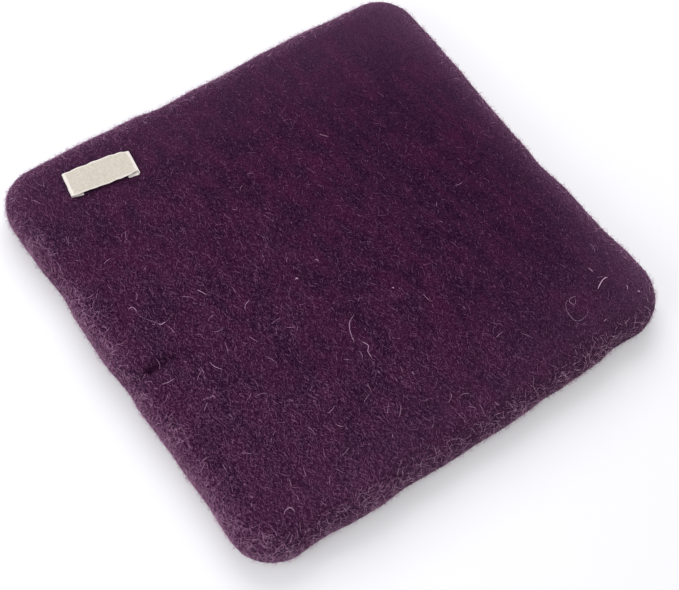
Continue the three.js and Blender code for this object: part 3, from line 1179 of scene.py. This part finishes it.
@dataclass
class FeltCovers:
    """The two dyed skins, which meet a third of the way up the sides."""

    form: PadForm
    relief: FeltRelief
    wear_and_sheen: WearAndPaintedLight
    label_place: LabelPlace
    finish: FeltFinish
    nap_depth: float = 0.4 * MM
    foot_height: float = 0.3 * MM
    foot_relief: float = 0.25
    top_pitch: float = 1.1 * MM
    bottom_pitch: float = 1.6 * MM

    def rows(self, skin: Skin) -> np.ndarray:
        """Rings of a skin's outer face.

        Args:
            skin: Which skin.

        Returns:
            Scale, inset and height of each ring from the middle out to the seam.
        """
        form = self.form
        if skin is Skin.TOP:
            pitch, edge = self.top_pitch, form.top_edge
        else:
            pitch, edge = self.bottom_pitch, form.bottom_edge
        face = int(((form.width + form.depth) / 4 - edge) / pitch)
        roll = int(math.pi / 2 * edge / pitch)
        angles = np.linspace(math.pi / 2, 0, roll + 1)[1:]
        if skin is Skin.TOP:
            level, heights, last = form.edge_height, form.shoulder + edge * np.sin(angles), form.shoulder
        else:
            level, heights, last = 0.0, edge - edge * np.sin(angles), edge
        wall = max(1, round(abs(last - form.seam) / pitch))
        wall_heights = np.linspace(last, form.seam, wall + 1)[1:]
        scales = np.linspace(0, 1, face + 1)
        return np.vstack((
            np.column_stack((scales, np.full(face + 1, edge), np.full(face + 1, level))),
            np.column_stack((np.ones(roll), edge - edge * np.cos(angles), heights)),
            np.column_stack((np.ones(wall), np.zeros(wall), wall_heights)),
        ))

    def plain(self, skin: Skin) -> Mesh:
        """Outer face of a skin before it is needled.

        Args:
            skin: Which skin.

        Returns:
            An open mesh.
        """
        rows = self.rows(skin)
        upward = skin is Skin.TOP
        shares = np.full(len(rows), 1.0 if upward else 0.0)
        return self.form.sheet(skin.value, rows, upward, shares)

    def needled(self, skin: Skin) -> Mesh:
        """Outer face of a skin with its relief.

        Args:
            skin: Which skin.

        Returns:
            An open mesh.
        """
        mesh = self.plain(skin)
        places = coordinates(mesh)
        out = self.relief.heights(places) - self.nap_depth
        if skin is Skin.TOP:
            out *= 1 - self.label_place.share(places)
        else:
            flat = np.clip(places[:, 2] / self.form.bottom_edge, 0, 1)
            out = np.where(places[:, 2] < self.foot_height, -np.abs(out) * self.foot_relief, out * flat)
        places = places + directions(mesh) * out[:, None]
        places[:, 2] = np.maximum(places[:, 2], 0)
        move_to(mesh, places)
        return mesh

    def build(self, outer: dict[Skin, Mesh]) -> dict[Skin, Object]:
        """Builds both skins as closed shells, needled outside and plain inside, where the core lies.

        Args:
            outer: Their needled outer faces.

        Returns:
            The skins by name.
        """
        made = {}
        material = self.finish.material()
        for skin in Skin:
            shell = mesh_object(f"felt_{skin.value}", self.plain(skin), material)
            thicken(shell, self.form.skin, offset=-1)
            self.wear_and_sheen.lay(shell.data)
            places = coordinates(shell.data)
            # Painted shade along the crease, for the material.
            lay_numbers(shell.data, CREASE_SHADE, self.relief.shade(places))
            needled = coordinates(outer[skin])
            places[:len(needled)] = needled
            move_to(shell.data, places)
            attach(shell, BODY)
            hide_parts(skin.value)
            made[skin] = shell
            LOG.info("skin %s: %d faces", skin.value, len(shell.data.polygons))
        return made


@dataclass(frozen=True)
class FibreKind:
    """One kind of loose fibre on the felt.

    Shares say how thickly it grows: on the sides, the top and the underside, from the back right over the
    middle to the front left, and by side on the back, left, front and right.
    """

    name: str
    finish: FibreFinish
    strands: int
    length: tuple[float, float]
    radius: float
    rise: tuple[float, float]
    bury: float
    curl: float
    pieces: int = 1
    points: int = 6
    spread: float = math.radians(50)
    side_share: float = 1.2
    top_share: float = 1.0
    under_share: float = 0.3
    by_front_left: tuple[float, float, float] = (1.0, 1.0, 1.0)
    by_side: tuple[float, float, float, float] = (1.0, 1.0, 1.0, 1.0)


class Fuzz:
    """Loose wool fibres that lie on the skins and stand out of them."""

    SEED = 20261127
    GRAIN = Vector((0, 1, 0))
    UPRIGHT = Vector((0, 0, 1))
    LEVEL = 0.85
    UNDERSIDE = 0.9
    TUFT_SIZE = 14 * MM
    TUFT_STRENGTH = 0.9
    TUFT_LIMITS = (0.4, 1.6)
    RIM = 7 * MM
    LABEL_ROOM = 0.1 * MM
    RISE_POWER = 1.5
    WAVES = 5
    DRAWS = 8
    QUICK_PART = 4

    def __init__(self, skins: Sequence[Mesh], form: PadForm, place: LabelPlace,
                 wear_and_sheen: WearAndPaintedLight, relief: FeltRelief) -> None:
        """Keeps the surface that the fibres grow on.

        Args:
            skins: The outer faces of the skins.
            form: The pad's form.
            place: The label's place, which stays clear.
            wear_and_sheen: Where the fibres are paler, by rubbing, painted sheen and painted light, and how
                far each place lies in from the rim and towards the front left.
            relief: The felt's relief, whose dents hold fewer fibres.
        """
        self.wear_and_sheen = wear_and_sheen
        self.form = form
        self.place = place
        self.random = np.random.default_rng(self.SEED)
        places, corners, offset = [], [], 0
        for mesh in skins:
            places.append(coordinates(mesh))
            corners.append(face_corners(mesh).reshape(-1, 4) + offset)
            offset += len(mesh.vertices)
        self.places = np.vstack(places)
        self.quads = np.vstack(corners)
        self.tree = BVHTree.FromPolygons(self.places.tolist(), self.quads.tolist())
        a, b, c, d = (self.places[self.quads[:, i]] for i in range(4))
        upright = np.cross(c - a, d - b)
        self.areas = np.linalg.norm(upright, axis=1) / 2
        self.middles = (a + b + c + d) / 4
        tufts = 1 + self.TUFT_STRENGTH * noise_at(self.middles / self.TUFT_SIZE)
        dented = np.clip(relief.shade(self.middles), 0, 1)
        self.tufts = np.clip(tufts, *self.TUFT_LIMITS) * (1 - dented)
        self.use = wear_and_sheen.use(self.middles)
        under = upright[:, 2] < -self.UNDERSIDE * 2 * self.areas
        self.rimward = np.where(under, -1, np.clip(1 - wear_and_sheen.inside(self.middles) / self.RIM, 0, 1))

    def roots(self, count: int, kind: FibreKind) -> np.ndarray:
        """Places where fibres start, spread evenly and in no order.

        Args:
            count: How many.
            kind: Their kind, with its shares for the sides and the underside.

        Returns:
            One row for each place.
        """
        shares = (kind.under_share, kind.top_share, kind.side_share)
        chance = self.areas * self.tufts * np.interp(self.rimward, (-1, 0, 1), shares)
        chance *= np.interp(self.use, (0, 0.5, 1), kind.by_front_left)
        chance *= np.where(self.rimward > 0, self.wear_and_sheen.by_side(self.middles, kind.by_side), 1.0)
        reached = np.cumsum(chance) / chance.sum()
        spots = (np.arange(count) + self.random.random(count)) / count
        chosen = self.random.permutation(np.minimum(np.searchsorted(reached, spots), len(reached) - 1))
        u, v = self.random.random((2, count, 1))
        a, b, c, d = (self.places[self.quads[chosen, i]] for i in range(4))
        return (a * (1 - u) + b * u) * (1 - v) + (d * (1 - u) + c * u) * v

    def strand(self, root: np.ndarray, draws: np.ndarray, kind: FibreKind) -> np.ndarray:
        """One fibre, walked over the felt.

        Args:
            root: Where it starts.
            draws: Random numbers from 0 to 1 for this fibre.
            kind: Its kind.

        Returns:
            Its points, one row each.
        """
        long, aim, bent, waved, started, risen, sunk, backward = draws
        step = np.interp(long, (0, 1), kind.length) / (kind.points - 1)
        spot, normal, _, _ = self.tree.find_nearest(Vector(root))
        on_top = abs(normal.z) > self.LEVEL
        heading = normal.cross(self.GRAIN.cross(normal)) if on_top else normal.cross(self.UPRIGHT)
        heading.normalize()
        heading.rotate(Matrix.Rotation(kind.spread * (2 * aim - 1), 3, normal))
        if backward < 0.5:
            heading.negate()
        bend = kind.curl * (bent - 0.5) * 2
        wave = kind.curl * waved
        phase = 2 * math.pi * started
        rise = np.interp(risen, (0, 1), kind.rise)
        points = []
        for share in np.linspace(0, 1, kind.points):
            sink = kind.bury * math.cos(2 * math.pi * (share + sunk))
            points.append(spot + normal * (rise * share**self.RISE_POWER - sink))
            turn = step * (bend + wave * math.sin(phase + self.WAVES * share)) / MM
            heading.rotate(Matrix.Rotation(turn, 3, normal))
            spot, normal, _, _ = self.tree.find_nearest(spot + heading * step)
            heading = (heading - normal * heading.dot(normal)).normalized()
        strand = np.array(points)
        strand[:, 2] = np.maximum(strand[:, 2], kind.radius)
        return strand

    def grow(self, kind: FibreKind) -> None:
        """Grows every fibre of one kind.

        Args:
            kind: The kind.
        """
        material = kind.finish.material()
        count = kind.strands
        all_roots = self.roots(count * kind.pieces, kind).reshape(kind.pieces, count, 3)
        for number, roots in enumerate(all_roots):
            draws = self.random.random((count, self.DRAWS))
            strands = [self.strand(root, draw, kind) for root, draw in zip(roots, draws)]
            strands = [points for points in strands if self.is_clear(points)]
            name = f"{kind.name}_{number + 1}" if kind.pieces > 1 else kind.name
            piece = tube_piece(name, strands, kind.radius, material)
            self.dress(piece)
            LOG.info("fibres %s: %d strands, %d faces", name, len(strands), len(piece.data.polygons))

    def dress(self, piece: Object) -> None:
        """Gives a piece of fibres its map, its rubbing with painted sheen and light, and its place on the
        pad.

        Args:
            piece: The piece.
        """
        lay_map(piece.data, self.form)
        self.wear_and_sheen.lay(piece.data)
        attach(piece, BODY)

    def is_clear(self, points: np.ndarray) -> bool:
        """Whether a fibre stays off the label."""
        on_label = self.place.beyond(points) < self.LABEL_ROOM
        return not (on_label & (points[:, 2] > self.form.shoulder)).any()


@dataclass(frozen=True)
class StrayHairs:
    """The pale hairs that stand out on the top, each drawn through a few places on it.

    A hair is its thickness, as a share of the radius, and the places that it passes, in millimetres.
    """

    radius: float = 0.12 * MM
    lift: float = 0.25 * MM
    step: float = 0.4 * MM
    hairs: tuple[tuple[float, tuple[tuple[float, float], ...]], ...] = (
        (0.3, ((63.0, -74.9), (61.1, -76.0), (59.5, -78.5), (58.9, -82.1), (60.1, -84.7), (63.2, -85.0),
               (66.2, -83.9), (67.8, -81.3))),
        (0.45, ((67.1, -75.2), (64.3, -75.0), (63.2, -75.8), (63.6, -77.6), (65.1, -77.6), (66.0, -75.9))),
        (1.9, ((77.2, -77.4), (80.0, -75.9), (82.4, -75.1), (84.2, -75.3))),
        (0.7, ((-13.6, -33.3), (-17.1, -35.1), (-19.3, -38.5), (-20.8, -43.4))),
        (0.8, ((-18.1, -44.6), (-17.0, -47.5), (-18.6, -49.6), (-19.0, -52.8))),
        (0.8, ((-84.0, -87.1), (-82.3, -85.9), (-80.3, -86.3), (-80.0, -88.4))),
        (0.22, ((-84.0, 11.7), (-81.2, 7.7), (-79.6, 5.1), (-76.5, 5.0), (-72.4, 6.6))),
        (1.0, ((-80.0, 5.7), (-79.2, 4.9), (-77.4, 5.0))),
        (0.7, ((-59.5, 10.1), (-58.5, 8.4), (-57.6, 6.3))),
        (0.7, ((-86.4, 17.9), (-84.5, 17.6), (-84.1, 15.3))),
        (0.6, ((-72.5, -19.3), (-72.2, -21.9), (-70.2, -25.0))),
        (1.5, ((-24.0, -7.6), (-23.4, -6.9), (-22.9, -7.8))),
        (0.7, ((-48.6, -7.8), (-47.2, -6.1), (-44.7, -5.1))),
        (0.6, ((-92.8, -17.2), (-90.0, -17.8), (-87.6, -17.9))),
        (1.5, ((90.3, -87.4), (90.8, -87.5), (90.8, -88.0))),
        (1.2, ((6.3, -31.5), (6.8, -31.6), (7.1, -32.1))),
        (0.8, ((-12.0, -4.0), (-11.5, -4.7), (-11.3, -5.4))),
        (0.7, ((80.6, -67.4), (80.8, -68.6), (81.0, -69.9))),
        (0.8, ((69.3, -90.4), (70.0, -90.4), (70.8, -90.2))),
        (0.6, ((88.3, -82.4), (88.1, -83.6), (87.2, -84.3))),
    )

    def path(self, route: Sequence[tuple[float, float]], tree: BVHTree, height: float) -> np.ndarray:
        """One hair as a smooth line on the felt.

        Args:
            route: Places that it passes, in millimetres.
            tree: The felt's surface.
            height: A height that is over the whole surface.

        Returns:
            Its points, one row each.
        """
        ends = np.array(route) * MM
        knots = np.vstack((2 * ends[0] - ends[1], ends, 2 * ends[-1] - ends[-2]))
        flat = []
        for a, b, c, d in zip(knots, knots[1:], knots[2:], knots[3:]):
            count = max(2, round(np.linalg.norm(c - b) / self.step))
            share = np.linspace(0, 1, count, endpoint=False)[:, None]
            bend = (2 * a - 5 * b + 4 * c - d) * share**2 + (3 * b - a - 3 * c + d) * share**3
            flat.append(b + ((c - a) * share + bend) / 2)
        points = []
        for x, y in np.vstack((*flat, ends[-1:])):
            spot = tree.ray_cast(Vector((x, y, height)), Vector((0, 0, -1)))[0]
            points.append(spot + Vector((0, 0, self.lift)))
        return np.array(points)

    def build(self, fuzz: Fuzz) -> None:
        """Builds and dresses the hairs as one piece.

        Args:
            fuzz: The fuzz that they lie among.
        """
        height = 2 * fuzz.form.edge_height
        paths = [self.path(route, fuzz.tree, height) for _, route in self.hairs]
        shares = [share for share, _ in self.hairs]
        piece = tube_piece("stray_hairs", paths, self.radius, STRAY_FIBRE.material(), shares=shares)
        fuzz.dress(piece)
        LOG.info("stray hairs: %d", len(paths))


@dataclass
class CoreBatts:
    """The wool core: batts laid crosswise, which fill the space between the skins."""

    form: PadForm
    count: int = 6
    gap: float = 0.3 * MM
    rings: int = 34
    rim_rings: int = 3
    merge: float = 0.01 * MM
    comb_size: float = 1.6 * MM
    comb_stretch: float = 9.0
    comb_height: float = 0.1 * MM

    def slab(self, index: int) -> Mesh:
        """One batt as a closed slab.

        Args:
            index: Its number from the bottom.

        Returns:
            Its mesh, with the ridges that the comb left.
        """
        inward = self.form.skin + self.gap
        bottom, top = inward, self.form.edge_height - inward
        pitch = (top - bottom + self.gap) / self.count
        low = bottom + index * pitch
        high = low + pitch - self.gap
        middle = (low + high) / 2
        halves = bmesh.new()
        for level, upward in ((high, True), (low, False)):
            rim = np.linspace(level, middle, self.rim_rings + 1)[1:]
            heights = np.concatenate((np.full(self.rings, level), rim))
            scales = np.concatenate((np.linspace(0, 1, self.rings), np.ones(self.rim_rings)))
            rows = np.column_stack((scales, self.form.inset_at(heights, inward), heights))
            half = self.form.sheet("half", rows, upward, (heights - bottom) / (top - bottom))
            halves.from_mesh(half)
            bpy.data.meshes.remove(half)
        bmesh.ops.remove_doubles(halves, verts=halves.verts, dist=self.merge)
        mesh = bpy.data.meshes.new("batt")
        halves.to_mesh(mesh)
        halves.free()
        stretch = (self.comb_stretch, 1, 1) if index % 2 else (1, self.comb_stretch, 1)
        ridges = noise_at(coordinates(mesh) / self.comb_size / stretch)
        move_out(mesh, self.comb_height * ridges)
        return mesh

    def build(self) -> None:
        """Builds and dresses every batt."""
        ways = (("across", math.pi / 2), ("along", 0.0))
        materials = [RawWoolFinish(f"raw_wool_{way}", turn).material() for way, turn in ways]
        for index in range(self.count):
            batt = mesh_object(f"wool_batt_{index + 1}", self.slab(index), materials[index % 2])
            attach(batt, BODY)
            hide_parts(f"core_batt_{index + 1}")
            LOG.info("batt %d: %d faces", index + 1, len(batt.data.polygons))


@dataclass
class TapeLabel:
    """A woven cotton tape with both ends folded under."""

    form: PadForm
    place: LabelPlace
    thickness: float = 0.3 * MM
    room: float = 0.35 * MM
    flap: float = 5 * MM
    seat: float = 0.3 * MM
    slit: float = 0.9 * MM
    yarn: float = 0.5 * MM
    yarn_steps: int = 4
    yarn_height: float = 0.04 * MM
    edge_bow: float = 0.7 * MM
    left_flap_shift: tuple[float, float] = (0.1 * MM, -0.5 * MM)
    right_flap_shift: tuple[float, float] = (-0.7 * MM, -0.4 * MM)
    pinch: float = 0.5 * MM
    pinch_reach: float = 3 * MM
    pucker_at: tuple[float, float] = (-13.3 * MM, -2.3 * MM)
    pucker_shape: tuple[float, float] = (0.5, 1.1)
    pucker_reach: float = 1 * MM
    pucker: float = 0.5 * MM
    sag: float = 0.35 * MM
    side_and_fold_light_reach: float = 0.5 * MM
    wobble: float = 0.42 * MM
    wobble_size: float = 3.5 * MM
    wobble_shape: tuple[float, float, float] = (1.0, 1.0, 0.4)
    wobble_seed: int = 5

    @property
    def fold(self) -> float:
        """Radius of a fold at the middle of the tape's thickness."""
        return (self.slit + self.room) / 2

    @property
    def straight(self) -> float:
        """Half the length of the face between the folds."""
        return self.place.length / 2 - self.fold - self.room / 2

    @property
    def flap_run(self) -> float:
        """Length of a flap from its fold."""
        return self.flap - self.place.length / 2 + self.straight

    @property
    def cut_length(self) -> float:
        """Length of the tape before it was folded."""
        return 2 * (self.straight + math.pi * self.fold + self.flap_run)

    def folded(self, along: np.ndarray, across: np.ndarray) -> np.ndarray:
        """Places of the folded tape in the label's own axes.

        Args:
            along: Distance along the tape from its middle.
            across: Distance across it.

        Returns:
            One row for each place.
        """
        side, reach = np.sign(along), np.abs(along) - self.straight
        turned = np.clip(reach / self.fold, 0, math.pi)
        past = np.clip(reach - math.pi * self.fold, 0, None)
        x = side * (np.minimum(np.abs(along), self.straight) + self.fold * np.sin(turned) - past)
        level = self.seat + self.room / 2 + self.fold
        z = level + self.fold * np.cos(turned)
        face = np.clip(1 - (along / self.straight) ** 2, 0, None)
        under = turned / math.pi
        progress = past / self.flap_run
        shift = np.where(side < 0, *(np.interp(progress, (0, 1), ends)
                                     for ends in (self.left_flap_shift, self.right_flap_shift)))
        pinched = np.where(side > 0, self.pinch * bell(reach, self.pinch_reach) * (1 - under), 0)
        y = across * (1 - 2 * pinched / self.place.width) + under * shift
        y = y + self.edge_bow * face * np.clip(2 * across / self.place.width, 0, 1)
        (pucker_x, pucker_y), (long, wide) = self.pucker_at, self.pucker_shape
        away = np.hypot((x - pucker_x) / long, (y - pucker_y) / wide)
        z = z - self.pucker * bell(away, self.pucker_reach) * (1 - under)
        z = z - self.sag * face**2
        places = np.column_stack((x, y, z))
        flat = np.column_stack((along, across, np.zeros(len(along)))) / self.wobble_size
        noise.seed_set(self.wobble_seed)
        loose = np.array([noise.noise_vector(Vector(p)) for p in flat])
        return places + loose * np.array(self.wobble_shape) * self.wobble

    def mesh(self) -> Mesh:
        """Weaves and folds the tape.

        Returns:
            The tape's middle surface.
        """
        size = (self.cut_length, self.place.width)
        steps = [self.yarn_steps * round(side / self.yarn) for side in size]
        mesh = grid_mesh("tape", steps, 0.5)
        flat = coordinates(mesh)[:, :2] * size
        move_to(mesh, self.folded(flat[:, 0], flat[:, 1]))
        move_out(mesh, self.yarn_height * np.prod(np.sin(math.pi * flat / self.yarn), axis=1))
        # The tape is paler near its long woven edges; over the folds and flaps the paler tone is a painted
        # highlight.
        from_side = self.place.width / 2 - np.abs(flat[:, 1])
        from_fold = np.clip(self.straight - np.abs(flat[:, 0]), 0, None)
        lay_numbers(mesh, SELVEDGE_AND_FOLD_LIGHT, bell(np.minimum(from_side, from_fold), self.side_and_fold_light_reach))
        mesh.transform(self.place.frame(self.form))
        return mesh

    def build(self, cover: str) -> None:
        """Builds and dresses the label.

        Args:
            cover: Name of the piece it lies on; not used.
        """
        tape = mesh_object("cotton_label", self.mesh(), CottonFinish("cotton_tape").material())
        thicken(tape, self.thickness, offset=0)
        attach(tape, BODY)
        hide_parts("label_tape")
        self.cut_length
        LOG.info("label: %d faces", len(tape.data.polygons))


@dataclass
class TackThreads:
    """Two-ply cotton threads that tack the label's flaps down to the felt."""

    form: PadForm
    place: LabelPlace
    radius: float = 0.15 * MM
    run: float = 1.8 * MM
    runs: int = 5
    top: float = 1.1 * MM
    depth: float = 1.5 * MM
    bend: float = 0.45 * MM
    from_fold: float = 2.8 * MM
    bend_steps: int = 6
    twist: float = 0.9 * MM
    step: float = 0.1 * MM
    ply_sides: int = 6

    def route(self, x: float) -> np.ndarray:
        """Middle line of one thread.

        Args:
            x: Where it crosses the label.

        Returns:
            Points in the label's own axes.
        """
        start = -self.run * self.runs / 2
        corners = [(x, start, self.top)]
        for leg in range(1, self.runs):
            heights = (self.top, -self.depth) if leg % 2 else (-self.depth, self.top)
            corners += [(x, start + leg * self.run, height) for height in heights]
        corners.append((x, -start, self.top))
        corners = np.array(corners)
        points = [corners[0]]
        for before, corner, after in zip(corners, corners[1:], corners[2:]):
            ends = [corner + (p - corner) / np.linalg.norm(p - corner) * self.bend for p in (before, after)]
            for share in np.linspace(0, 1, self.bend_steps):
                rest = 1 - share
                points.append(rest**2 * ends[0] + 2 * share * rest * corner + share**2 * ends[1])
        points.append(corners[-1])
        points = np.array(points)
        length = run_lengths(points)
        even = np.arange(0, length[-1], self.step)
        return np.column_stack([np.interp(even, length, points[:, i]) for i in range(3)])

    def plies(self, x: float) -> list[np.ndarray]:
        """The two strands of one thread, twisted round each other.

        Args:
            x: Where the thread crosses the label.

        Returns:
            The points of each strand, in the label's own axes.
        """
        route = self.route(x)
        ahead = np.gradient(route, axis=0)
        ahead /= np.linalg.norm(ahead, axis=1)[:, None]
        sideways = np.array((1.0, 0.0, 0.0))
        upward = np.cross(ahead, sideways)
        angle = 2 * math.pi * np.arange(len(route))[:, None] * self.step / self.twist
        around = (np.cos(angle) * sideways + np.sin(angle) * upward) * self.radius / 2
        return [route + around, route - around]

    def build(self) -> None:
        """Builds and dresses both threads."""
        material = CottonFinish("cotton_thread").material()
        frame = self.place.frame(self.form)
        for side, sign in (("left", -1), ("right", 1)):
            plies = self.plies(sign * (self.place.length / 2 - self.from_fold))
            name = f"tack_thread_{side}"
            thread = tube_piece(name, plies, self.radius / 2, material, self.ply_sides, taper=1.0)
            thread.data.transform(frame)
            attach(thread, BODY)
            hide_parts(f"label_stitch_{side}")
            LOG.info("thread %s: %d faces", side, len(thread.data.polygons))


@dataclass
class Studio:
    """A pale floor, soft light and the camera."""

    target: tuple[float, float, float] = (-4.94 * MM, -13.55 * MM, 0.0)
    azimuth: float = math.radians(-42.08)
    elevation: float = math.radians(59.64)
    roll: float = math.radians(7.73)
    distance: float = 623.3 * MM
    focal_pixels: float = 1500.0
    frame_pixels: float = 679.0
    sensor: float = 36.0
    near: float = 10 * MM
    soft_light: float = 0.62
    white: float = 1.0
    floor_half: float = 4.0
    floor_drop: float = 0.2 * MM
    floor_colour: Colour = (0.785, 0.785, 0.82)
    floor_glow: float = 0.275

    def camera(self) -> None:
        """Sets up the camera."""
        sine, cosine = math.sin(self.azimuth), math.cos(self.azimuth)
        level = math.cos(self.elevation)
        back = Vector((sine * level, -cosine * level, math.sin(self.elevation)))
        right = Vector((cosine, sine, 0))
        upright = Matrix((right, back.cross(right), back)).transposed()
        data = bpy.data.cameras.new("camera")
        data.sensor_fit = "HORIZONTAL"
        data.sensor_width = self.sensor
        data.lens = self.focal_pixels / self.frame_pixels * self.sensor
        data.clip_start = self.near
        camera = new_object("camera", data)
        turned = upright.to_4x4() @ Matrix.Rotation(self.roll, 4, "Z")
        camera.matrix_world = Matrix.Translation(Vector(self.target) + back * self.distance) @ turned
        bpy.context.scene.camera = camera

    def floor(self) -> None:
        """Lays the floor."""
        mesh = grid_mesh("floor", (1, 1), self.floor_half)
        mesh.transform(Matrix.Translation((0, 0, -self.floor_drop)))
        paint = Paint("white_floor")
        white = paint.node("ShaderNodeBsdfDiffuse", {}, {"Color": (*self.floor_colour, 1.0)})
        seen = paint.node("ShaderNodeLightPath").outputs["Is Camera Ray"]
        glow = paint.node("ShaderNodeEmission", {}, {"Strength": Signal(paint, seen) * self.floor_glow})
        both = paint.node("ShaderNodeAddShader", {}, {0: white.outputs[0], 1: glow.outputs[0]})
        mesh_object("floor", mesh, paint.finish(both))

    def lamp(self, name: str, place: Sequence[float], size: float, power: float) -> None:
        """Hangs a soft square lamp that faces the pad.

        Args:
            name: The lamp's name.
            place: Where it hangs.
            size: Length of its side.
            power: Its power in watts.
        """
        data = bpy.data.lights.new(name, "AREA")
        data.size = size
        data.energy = power
        lamp = new_object(name, data)
        lamp.location = place
        lamp.rotation_euler = (-Vector(place)).to_track_quat("-Z", "Y").to_euler()

    def light(self) -> None:
        """Sets the surroundings and the lamps."""
        world = bpy.data.worlds.new("studio")
        bpy.context.scene.world = world
        world.use_nodes = True
        sheet = NodeSheet(world.node_tree)
        seen = sheet.node("ShaderNodeLightPath").outputs["Is Camera Ray"]
        soft = sheet.node("ShaderNodeBackground", {}, {"Strength": self.soft_light}).outputs[0]
        white = sheet.node("ShaderNodeBackground", {}, {"Strength": self.white}).outputs[0]
        either = sheet.node("ShaderNodeMixShader", {}, {0: seen, 1: soft, 2: white}).outputs[0]
        sheet.node("ShaderNodeOutputWorld", {}, {0: either})
        self.lamp("key", place=(0.3, 0.65, 0.85), size=0.9, power=7.0)
        self.lamp("fill", place=(-0.55, -0.05, 0.35), size=0.4, power=1.2)

    def build(self) -> None:
        """Sets the whole studio up."""
        self.camera()
        self.floor()
        self.light()
        bpy.context.scene.view_settings.view_transform = "Standard"


DEEP_FIBRE = FibreFinish("deep_fibre", linear(22, 2, 20), linear(38, 8, 34))
PLUM_FIBRE = FibreFinish("plum_fibre", linear(74, 28, 69), linear(102, 52, 98))
MAUVE_FIBRE = FibreFinish("mauve_fibre", linear(110, 58, 104), linear(192, 136, 184))
# The nap and halo tones are pale partly as painted rim light.
NAP_FIBRE = FibreFinish("nap_fibre", linear(112, 60, 102), linear(188, 126, 166))
HALO_FIBRE = FibreFinish("halo_fibre", linear(202, 152, 188), linear(246, 208, 234))
PALE_FIBRE = FibreFinish("pale_fibre", linear(204, 152, 190), linear(246, 204, 234))
STRAY_FIBRE = FibreFinish("stray_fibre", linear(226, 178, 214), linear(252, 212, 244))

FIBRES = (
    FibreKind(
        name="matted_deep", finish=DEEP_FIBRE, strands=8000, length=(0.5 * MM, 1.2 * MM), radius=0.09 * MM,
        rise=(0.0, 0.3 * MM), bury=0.05 * MM, curl=0.25, points=3, spread=math.radians(35),
        by_front_left=(0.7, 1.0, 1.3),
    ),
    FibreKind(
        name="matted_plum", finish=PLUM_FIBRE, strands=9000, length=(0.5 * MM, 1.2 * MM), radius=0.08 * MM,
        rise=(0.05 * MM, 0.4 * MM), bury=0.05 * MM, curl=0.25, points=3, spread=math.radians(35),
        by_front_left=(0.5, 0.9, 1.3),
    ),
    FibreKind(
        name="matted_mauve", finish=MAUVE_FIBRE, strands=1200, length=(2 * MM, 6 * MM), radius=0.055 * MM,
        rise=(0.1 * MM, 0.6 * MM), bury=0.1 * MM, curl=0.25, points=7, side_share=1.5,
        spread=math.radians(50), by_front_left=(0.0, 0.5, 2.0),
    ),
    # Flecks: short pale bits, partly pale wool and partly painted glints where crimped fibres catch the
    # light.
    FibreKind(
        name="flecks", finish=MAUVE_FIBRE, strands=8000, length=(0.8 * MM, 2.0 * MM), radius=0.06 * MM,
        rise=(0.05 * MM, 0.35 * MM), bury=0.0, curl=0.12, pieces=2, points=3, spread=math.radians(40),
        side_share=1.5, by_front_left=(0.0, 0.4, 1.8),
    ),
    # Nap on the sides and rim: its pale tone is partly painted rim light, and its share by side is set partly
    # by how light falls, least on the shaded front.
    FibreKind(
        name="nap", finish=NAP_FIBRE, strands=6500, length=(0.8 * MM, 2.0 * MM), radius=0.05 * MM,
        rise=(0.15 * MM, 0.7 * MM), bury=0.1 * MM, curl=0.1, pieces=2, points=4, spread=math.radians(40),
        side_share=1.0, top_share=0.0, under_share=0.0, by_side=(1.1, 1.0, 0.36, 0.75),
    ),
    # Halo hairs stand out past the rim; their near-white tone is partly painted rim light.
    FibreKind(
        name="halo_hairs", finish=HALO_FIBRE, strands=3000, length=(1.5 * MM, 4 * MM), radius=0.045 * MM,
        rise=(0.8 * MM, 2.2 * MM), bury=0.1 * MM, curl=0.2, pieces=2, points=5, spread=math.pi / 2,
        side_share=1.0, top_share=0.0, under_share=0.0, by_side=(0.8, 0.9, 0.8, 0.6),
    ),
    FibreKind(
        name="pale_hairs", finish=PALE_FIBRE, strands=220, length=(1.2 * MM, 6 * MM), radius=0.058 * MM,
        rise=(0.1 * MM, 0.7 * MM), bury=0.15 * MM, curl=0.25, spread=math.pi / 3, by_front_left=(0.05, 0.15, 1.8),
    ),
)


def main() -> None:
    """Builds the pad and its studio, piece by piece."""
    logging.basicConfig(level=logging.INFO, format="%(name)s: %(message)s")
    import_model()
    form = PadForm.from_frame()
    place = LabelPlace.from_frame()
    Studio().build()
    wear_and_sheen = WearAndPaintedLight(form)
    relief = FeltRelief()
    covers = FeltCovers(form, relief, wear_and_sheen, place, FeltFinish())
    outer = {skin: covers.needled(skin) for skin in Skin}
    fuzz = Fuzz(list(outer.values()), form, place, wear_and_sheen, relief)
    skins = covers.build(outer)
    CoreBatts(form).build()
    TapeLabel(form, place).build(skins[Skin.TOP].name)
    TackThreads(form, place).build()
    for kind in FIBRES:
        fuzz.grow(kind)
    StrayHairs().build(fuzz)


if __name__ == "__main__":
    main()
